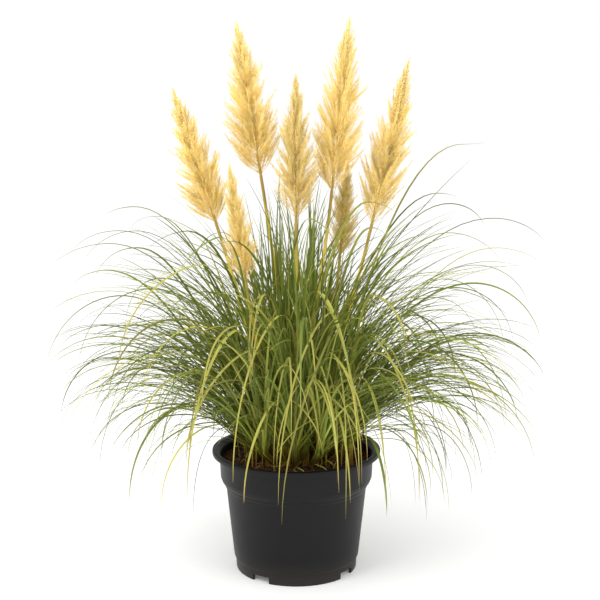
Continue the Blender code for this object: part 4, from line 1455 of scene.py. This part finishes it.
def plume_branches(locks, width, dice):
    """Each branch's foot and tip as shares of the plume's length, its angle, its reach and its group.

    Most gather in pointed locks, where they end at the tip or short of it. Fillers close the body, and the
    spire's branches stand round its tip. Each of these is a group of its own.
    """
    foot_v, tip_v, lock_angle, lock_reach = all_locks(locks, width, dice)
    which = np.repeat(np.arange(len(foot_v)), BRANCHES_PER_LOCK)
    count = len(which)
    short = MOST_SHORT * dice.uniform(0, 1, count) ** SHORT_POWER
    low = np.maximum(foot_v[which] - dice.uniform(0, BRANCH_DROP, count), LOWEST_BRANCH)
    high = tip_v[which] - short * (tip_v[which] - low)
    turns = BRANCH_TURNS[0] + BRANCH_TURNS[1] * short
    angle = lock_angle[which] + dice.normal(0, 1, count) * turns
    reach = lock_reach[which] * (1 - SHORT_BRANCH_REACH * short)

    filler_low, filler_high, filler_reach = grown_branches(FILLERS, width, dice)
    spire_low, spire_high, spire_reach = grown_branches(SPIRES, width, dice)
    extra = len(filler_low) + len(spire_low)
    return (
        np.concatenate((low, filler_low, spire_low)),
        np.concatenate((high, filler_high, spire_high)),
        np.concatenate((angle, dice.uniform(0, math.tau, extra))),
        np.concatenate((reach, filler_reach, spire_reach)),
        np.concatenate((which, len(foot_v) + np.arange(extra))),
    )


def branch_curves(foot, tip, low, high, angle, reach):
    """A function that gives the points of branches, by their numbers, at shares of their curves."""
    length = np.linalg.norm(tip - foot)
    axis = unit(tip - foot)
    side = unit(np.cross(axis, (0, 1, 0)))
    front = np.cross(axis, side)
    spoke = side * np.cos(angle)[:, None] + front * np.sin(angle)[:, None]
    start = foot + axis * length * low[:, None]
    end = foot + axis * length * high[:, None] + spoke * reach[:, None]
    rise_share, reach_share = BRANCH_BEND
    rise = length * (high - low) * rise_share
    bend = start + axis * rise[:, None] + spoke * (reach * reach_share)[:, None]

    def branch(which, s):
        s = s[..., None]
        return (1 - s) ** 2 * start[which] + 2 * s * (1 - s) * bend[which] + s * s * end[which]

    return branch


def branch_ribbons(branch, tone, dice):
    """The branches themselves, as ribbons that taper to their ends."""
    count = len(tone)
    steps = np.linspace(0, 1, BRANCH_RINGS)
    lines = branch(np.arange(count)[:, None], np.broadcast_to(steps, (count, BRANCH_RINGS)))
    ahead = units(np.gradient(lines, axis=1))
    half_widths = BRANCH_HALF_WIDTH * np.broadcast_to(1 - BRANCH_TAPER * steps, (count, BRANCH_RINGS))
    across = np.broadcast_to(across_frame(ahead[:, :1], dice), lines.shape)
    return ribbon_arrays(lines, across, half_widths, tone * BRANCH_TONE)


def hair_ribbons(branch, low, high, tone, run, width, dice):
    """Hairs along each branch that lean away from it, longest near its foot and on the full body."""
    hairs = HAIRS_PER_BRANCH * min(1, np.linalg.norm(run) * width / FULL_PLUME_AREA)
    rise = high - low
    which = np.repeat(np.arange(len(low)), np.round(hairs * rise / rise.mean()).astype(int))
    count = len(which)
    bare = profile(BARE_SHARES, low[which])
    s = bare + (1 - bare) * dice.uniform(0, 1, count) ** HAIR_CROWDING
    place = branch(which, s)
    ahead = units(branch(which, s + HAIR_STEP) - place)
    lean = np.radians(np.clip(dice.normal(HAIR_LEAN, HAIR_LEAN_SPREAD, count), *HAIR_LEANS))[:, None]
    away = across_frame(ahead, dice)
    heading = ahead * np.cos(lean) + away * np.sin(lean)
    fullness = LEAST_FULLNESS + (1 - LEAST_FULLNESS) * plume_shape(low[which])
    length = HAIR_LENGTH * width / HAIR_PLUME_WIDTH * dice.uniform(*HAIR_SIZES, count)
    length = length * (1 - HAIR_TAPER * s) * fullness
    u = np.linspace(0, 1, HAIR_RINGS)[None, :, None]
    curl = away * HAIR_DROOP + unit(run) * HAIR_RISE
    lines = place[:, None] + (heading[:, None] * u + curl[:, None] * u * u) * length[:, None, None]
    across = np.broadcast_to(across_frame(heading, dice)[:, None], lines.shape)
    half_widths = HAIR_HALF_WIDTH * np.broadcast_to(1 - HAIR_TIP_TAPER * u[..., 0], lines.shape[:2])
    hair_tone = np.clip(tone[which] + dice.normal(0, HAIR_TONE_SPREAD, count), 0, 1)
    return ribbon_arrays(lines, across, half_widths, hair_tone)


def build_plume(name, locks, material, dice):
    """Branches that lean up and out of the rachis, each with fine hairs."""
    foot, tip, width, _ = PLUMES[name]
    foot, tip = np.array(foot), np.array(tip)
    low, high, angle, reach, group = plume_branches(locks, width, dice)
    branch = branch_curves(foot, tip, low, high, angle, reach)
    lock_tone = dice.normal(PLUME_TONES[name], LOCK_TONE_SPREAD, group.max() + 1)
    tone = np.clip(lock_tone[group] + dice.normal(0, BRANCH_TONE_SPREAD, len(low)), 0, 1)
    cores = branch_ribbons(branch, tone, dice)
    hairs = hair_ribbons(branch, low, high, tone, tip - foot, width, dice)
    points, quads, uvs, tints = (np.concatenate(pair) for pair in zip(cores, hairs))
    quads[len(cores[1]):] += len(cores[0])
    full_name = f"hair_{name}"
    mesh = make_mesh(full_name, points, quads, uvs, tints)
    add_piece(full_name, mesh, material, [f"plume_{name}"])


def build_plumes(plume_stuff, cane_stuff):
    """The plumes, each with its rachis, the thin end of the cane that carries the branches."""
    lock_dice = random.Random(SEED)
    dice = np.random.default_rng(SEED)
    for name, (foot, tip, width, _) in PLUMES.items():
        build_plume(name, plume_locks(width, lock_dice), plume_stuff, dice)
        line = np.linspace(foot, foot + RACHIS_SHARE * np.subtract(tip, foot), RACHIS_RINGS)
        radii = STEM_RADIUS * np.linspace(STEM_TOP_SHARE * RACHIS_FOOT_SHARE, RACHIS_TIP_SHARE, RACHIS_RINGS)
        add_stalk(f"rachis_{name}", line, radii, cane_stuff, colours=RACHIS_COLOURS)


def smooth_outline(corners):
    """The outline with each corner rounded by three points."""
    rounded = [corners[0]]
    for before, corner, after in zip(corners, corners[1:], corners[2:]):
        before, corner, after = (np.array(point) for point in (before, corner, after))
        into = min(CORNER_RADIUS, np.linalg.norm(corner - before) * CORNER_SHARE)
        out = min(CORNER_RADIUS, np.linalg.norm(after - corner) * CORNER_SHARE)
        start = corner + unit(before - corner) * into
        end = corner + unit(after - corner) * out
        rounded += [tuple(start), tuple((start + 2 * corner + end) / 4), tuple(end)]
    return rounded + [corners[-1]]


def circle(reach, sides):
    """The x and y of each point of a circle."""
    angles = [math.tau * i / sides for i in range(sides)]
    return [(reach * math.cos(angle), reach * math.sin(angle)) for angle in angles]


def join_rings(built, first, second):
    """Faces between two rings of points. Either ring may be one point repeated."""
    for i in range(len(first)):
        j = (i + 1) % len(first)
        built.faces.new(list(dict.fromkeys((first[i], second[i], second[j], first[j]))))


def finished_mesh(name, built):
    bmesh.ops.recalc_face_normals(built, faces=built.faces)
    mesh = bpy.data.meshes.new(name)
    built.to_mesh(mesh)
    built.free()
    return mesh


def turned_mesh(name, outline, sides):
    """A solid of revolution about Z from an outline that starts and ends on the axis."""
    built = bmesh.new()
    rings = []
    for radius, height in outline:
        if radius == 0:
            rings.append([built.verts.new((0, 0, height))] * sides)
        else:
            rings.append([built.verts.new((x, y, height)) for x, y in circle(radius, sides)])
    for lower, upper in zip(rings, rings[1:]):
        join_rings(built, lower, upper)
    return finished_mesh(name, built)


def pot_inside():
    """Radius and height of the pot's inside, from the bottom plate up to the foot of the lip."""
    outside = (
        (FOOT_RING_RADIUS, PLATE_TOP),
        (BODY_FOOT_RADIUS, FOOT_RING_HEIGHT + INNER_BODY_BEND),
        (SHOULDER_RADIUS, SHOULDER_HEIGHT),
        (COLLAR_FOOT_RADIUS, COLLAR_FOOT_HEIGHT + INNER_COLLAR_BEND),
        (COLLAR_TOP_RADIUS, POT_HEIGHT - LIP_HEIGHT),
    )
    return [(radius - POT_WALL, height) for radius, height in outside]


def pot_outline():
    lip_foot = POT_HEIGHT - LIP_HEIGHT
    ring_inside = FOOT_RING_RADIUS - FOOT_RING_WIDTH
    undercut, drop = COLLAR_UNDERCUT
    lip = [
        (LIP_RADIUS - LIP_TOP_WIDTH, POT_HEIGHT),
        (LIP_RADIUS, POT_HEIGHT),
        (LIP_RADIUS, lip_foot),
        (COLLAR_TOP_RADIUS, lip_foot - LIP_SEAM),
    ]
    outside = [
        (COLLAR_FOOT_RADIUS, COLLAR_FOOT_HEIGHT),
        (COLLAR_FOOT_RADIUS - undercut, COLLAR_FOOT_HEIGHT - drop),
        (SHOULDER_RADIUS + LEDGE_WIDTH, SHOULDER_HEIGHT + LEDGE_TOP),
        (SHOULDER_RADIUS + LEDGE_WIDTH, SHOULDER_HEIGHT + LEDGE_FOOT),
        (SHOULDER_RADIUS, SHOULDER_HEIGHT - LEDGE_BEND),
        (BODY_FOOT_RADIUS, FOOT_RING_HEIGHT + SEAM_TOP),
        (BODY_FOOT_RADIUS - SEAM_WIDTH, FOOT_RING_HEIGHT + SEAM_EDGE),
        (FOOT_RING_RADIUS + FOOT_RING_FLARE, FOOT_RING_HEIGHT - SEAM_EDGE),
        (FOOT_RING_RADIUS, 0),
    ]
    underside = [(ring_inside, 0), (ring_inside, PLATE_UNDERSIDE), (0, PLATE_UNDERSIDE)]
    return [(0, PLATE_TOP)] + pot_inside() + lip + outside + underside


def cut_mesh(mesh, cutter):
    """The mesh with the cutter's shape taken out of it."""
    holder = add_to_scene("holder", mesh)
    tool = add_to_scene("tool", cutter)
    boolean = holder.modifiers.new("cut", "BOOLEAN")
    boolean.operation = "DIFFERENCE"
    boolean.solver = "EXACT"
    boolean.object = tool
    graph = bpy.context.evaluated_depsgraph_get()
    result = bpy.data.meshes.new_from_object(holder.evaluated_get(graph))
    for thing in (holder, tool):
        bpy.data.objects.remove(thing)
    return result


def notch_cutter():
    """Blocks across the foot ring and short rods through the bottom plate, as one mesh."""
    built = bmesh.new()
    inner = FOOT_RING_RADIUS - 3 * FOOT_RING_WIDTH
    outer = FOOT_RING_RADIUS + 2 * FOOT_RING_WIDTH
    for notch in range(NOTCH_COUNT):
        azimuth = math.radians(FIRST_NOTCH_AZIMUTH + notch * 360 / NOTCH_COUNT)
        spoke = Vector((math.cos(azimuth), math.sin(azimuth), 0))
        across = Vector((-math.sin(azimuth), math.cos(azimuth), 0))
        block = bmesh.ops.create_cube(built, size=1)["verts"]
        for vertex in block:
            x, y, z = vertex.co
            middle = spoke * ((outer + inner) / 2 + x * (outer - inner))
            rise = (PLATE_UNDERSIDE - CUT_DEPTH) / 2 + z * (PLATE_UNDERSIDE + CUT_DEPTH)
            vertex.co = middle + across * y * NOTCH_WIDTH + Vector((0, 0, rise))
        size = {"radius1": DRAIN_RADIUS, "radius2": DRAIN_RADIUS, "depth": CUT_DEPTH}
        rod = bmesh.ops.create_cone(built, cap_ends=True, segments=DRAIN_SIDES, **size)["verts"]
        bmesh.ops.translate(built, vec=spoke * DRAIN_CIRCLE + Vector((0, 0, PLATE_TOP)), verts=rod)
    mesh = bpy.data.meshes.new("notch_cutter")
    built.to_mesh(mesh)
    built.free()
    return mesh


def build_pot(material):
    """The smooth shell of the pot, with its drainage notches and drain holes."""
    mesh = turned_mesh("pot_shell", smooth_outline(pot_outline()), SHELL_SIDES)
    mesh = cut_mesh(mesh, notch_cutter())
    mesh.polygons.foreach_set("use_smooth", np.ones(len(mesh.polygons), bool))
    mesh.set_sharp_from_angle(angle=SHARP_ANGLE)
    mesh.materials.clear()
    add_piece("pot_shell", mesh, material, ["pot"])


def peat_height(x, y):
    """The lumpy top of the peat, a little lower at the wall."""
    edges = (SOIL_FLAT_RADIUS, COLLAR_TOP_RADIUS)
    height = np.interp(math.hypot(x, y), edges, (SOIL_HEIGHT, SOIL_EDGE_HEIGHT))
    for fineness, lump_height, shift in PEAT_LUMPS:
        height += noise.noise(Vector((x * fineness, y * fineness, shift))) * lump_height
    return height


def add_crumb(built, edge, dice):
    """A loose crumb somewhere on the peat, as a small squashed ball."""
    reach = edge * math.sqrt(dice.random()) * CRUMB_REACH
    angle = dice.uniform(0, math.tau)
    x, y = reach * math.cos(angle), reach * math.sin(angle)
    size = dice.uniform(*CRUMB_SIZES) * (1 if dice.random() < SMALL_CRUMB_SHARE else LARGE_CRUMB)
    crumb = bmesh.ops.create_icosphere(built, subdivisions=1, radius=size)["verts"]
    squash = [dice.uniform(*CRUMB_SQUASH) for _ in range(3)]
    for vertex in crumb:
        bulge = 1 + CRUMB_BULGE * noise.noise(vertex.co * CRUMB_FINENESS + Vector((x, y, 0)) * CRUMB_SHIFT)
        vertex.co = Vector([c * q * bulge for c, q in zip(vertex.co, squash)])
        vertex.co += Vector((x, y, peat_height(x, y) + size * CRUMB_RISE))


def build_peat(material):
    """The peat's lumpy top, with loose crumbs on it, and its plain sides down to the bottom plate."""
    edge = COLLAR_TOP_RADIUS - POT_WALL - 2 * MESH_GAP
    floor = PLATE_TOP + MESH_GAP
    built = bmesh.new()
    before = [built.verts.new((0, 0, peat_height(0, 0)))] * PEAT_SIDES
    for ring in range(1, PEAT_RINGS + 1):
        places = circle(edge * (ring / PEAT_RINGS) ** PEAT_CROWDING, PEAT_SIDES)
        row = [built.verts.new((x, y, peat_height(x, y))) for x, y in places]
        join_rings(built, before, row)
        before = row
    for radius, height in reversed(pot_inside()[:-1]):
        places = circle(radius - MESH_GAP - PEAT_GAP, PEAT_SIDES)
        row = [built.verts.new((x, y, max(height, floor))) for x, y in places]
        join_rings(built, before, row)
        before = row
    built.faces.new(list(reversed(before)))
    dice = random.Random(SEED + 2)
    for _ in range(CRUMBS):
        add_crumb(built, edge, dice)
    add_piece("peat", finished_mesh("peat", built), material, ["soil"])


def build_litter(material):
    """Fibres and dry blades that lie on the peat, curled up a little at their ends."""
    dice = random.Random(SEED + 3)
    sheet = Sheet()
    along = np.linspace(0, 1, LITTER_POINTS)
    steps = LITTER_POINTS - 1
    for number in range(LITTER):
        kind = BLADE if number < BLADES else FIBRE
        reach = kind["reach"] * math.sqrt(dice.uniform(*LITTER_AREA)) * LITTER_REACH
        middle = polar(dice.uniform(0, 360), reach, 0)
        length = dice.uniform(*kind["length"])
        heading = dice.uniform(0, 360)
        bend = dice.uniform(-LITTER_BEND, LITTER_BEND)
        line = [middle - polar(heading, length / 2, 0)]
        for step in range(steps):
            line.append(line[-1] + polar(heading + bend * step / steps, length / steps, 0))
        line = np.array(line)
        line *= min(1, LITTER_EDGE / np.linalg.norm(line[:, :2], axis=1).max())
        curl = length * kind["curl"] * dice.uniform(*LITTER_CURLS) * np.linspace(-1, 1, LITTER_POINTS) ** 2
        line[:, 2] = [peat_height(x, y) + LITTER_RISE for x, y, _ in line] + curl
        widths = dice.uniform(*kind["half_width"]) * profile(LITTER_TAPER, along)
        headings = np.broadcast_to(polar(heading, 1, 0), line.shape)
        points = leaf_strip(line, headings, widths, along * dice.uniform(-1, 1))
        sheet.add(points, along, STRIP_SIDES, dice.uniform(*kind["tone"]))
    add_piece("litter", sheet.mesh("litter"), material)


def build_stage():
    """A white floor and even studio light, brighter from the upper left."""
    mesh = bpy.data.meshes.new("studio_floor")
    corners = [(x * FLOOR_REACH, y * FLOOR_REACH, 0) for x, y in ((-1, -1), (1, -1), (1, 1), (-1, 1))]
    mesh.from_pydata(corners, [], [(0, 1, 2, 3)])
    mesh.materials.append(floor_material())
    floor = add_to_scene("studio_floor", mesh)

    world = bpy.data.worlds.new("studio")
    world.use_nodes = True
    background = world.node_tree.nodes["Background"]
    background.inputs["Color"].default_value = (1, 1, 1, 1)
    background.inputs["Strength"].default_value = 1.0
    bpy.context.scene.world = world
    for name, (place, size, power) in LIGHTS.items():
        data = bpy.data.lights.new(name, "AREA")
        data.shape = "DISK"
        data.size = size
        data.energy = power
        lamp = add_to_scene(name, data)
        lamp.location = place
        lamp.rotation_euler = (Vector(LIGHTS_AIM) - Vector(place)).to_track_quat("-Z", "Y").to_euler()
    bpy.context.scene.view_settings.view_transform = "Standard"


def add_camera():
    data = bpy.data.cameras.new("camera")
    data.lens = LENS
    data.sensor_width = SENSOR
    camera = add_to_scene("camera", data)
    camera.location = CAMERA_PLACE
    camera.rotation_euler = (math.radians(CAMERA_TILT), 0, 0)
    bpy.context.scene.camera = camera


def main():
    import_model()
    build_stage()
    add_camera()
    clump = grow_clump(PLUMES)
    cane = cane_material()
    build_leaves(clump, leaf_material())
    build_canes(clump, cane)
    build_plumes(plume_material(), cane)
    build_pot(pot_material())
    build_peat(peat_material())
    build_litter(litter_material())


main()
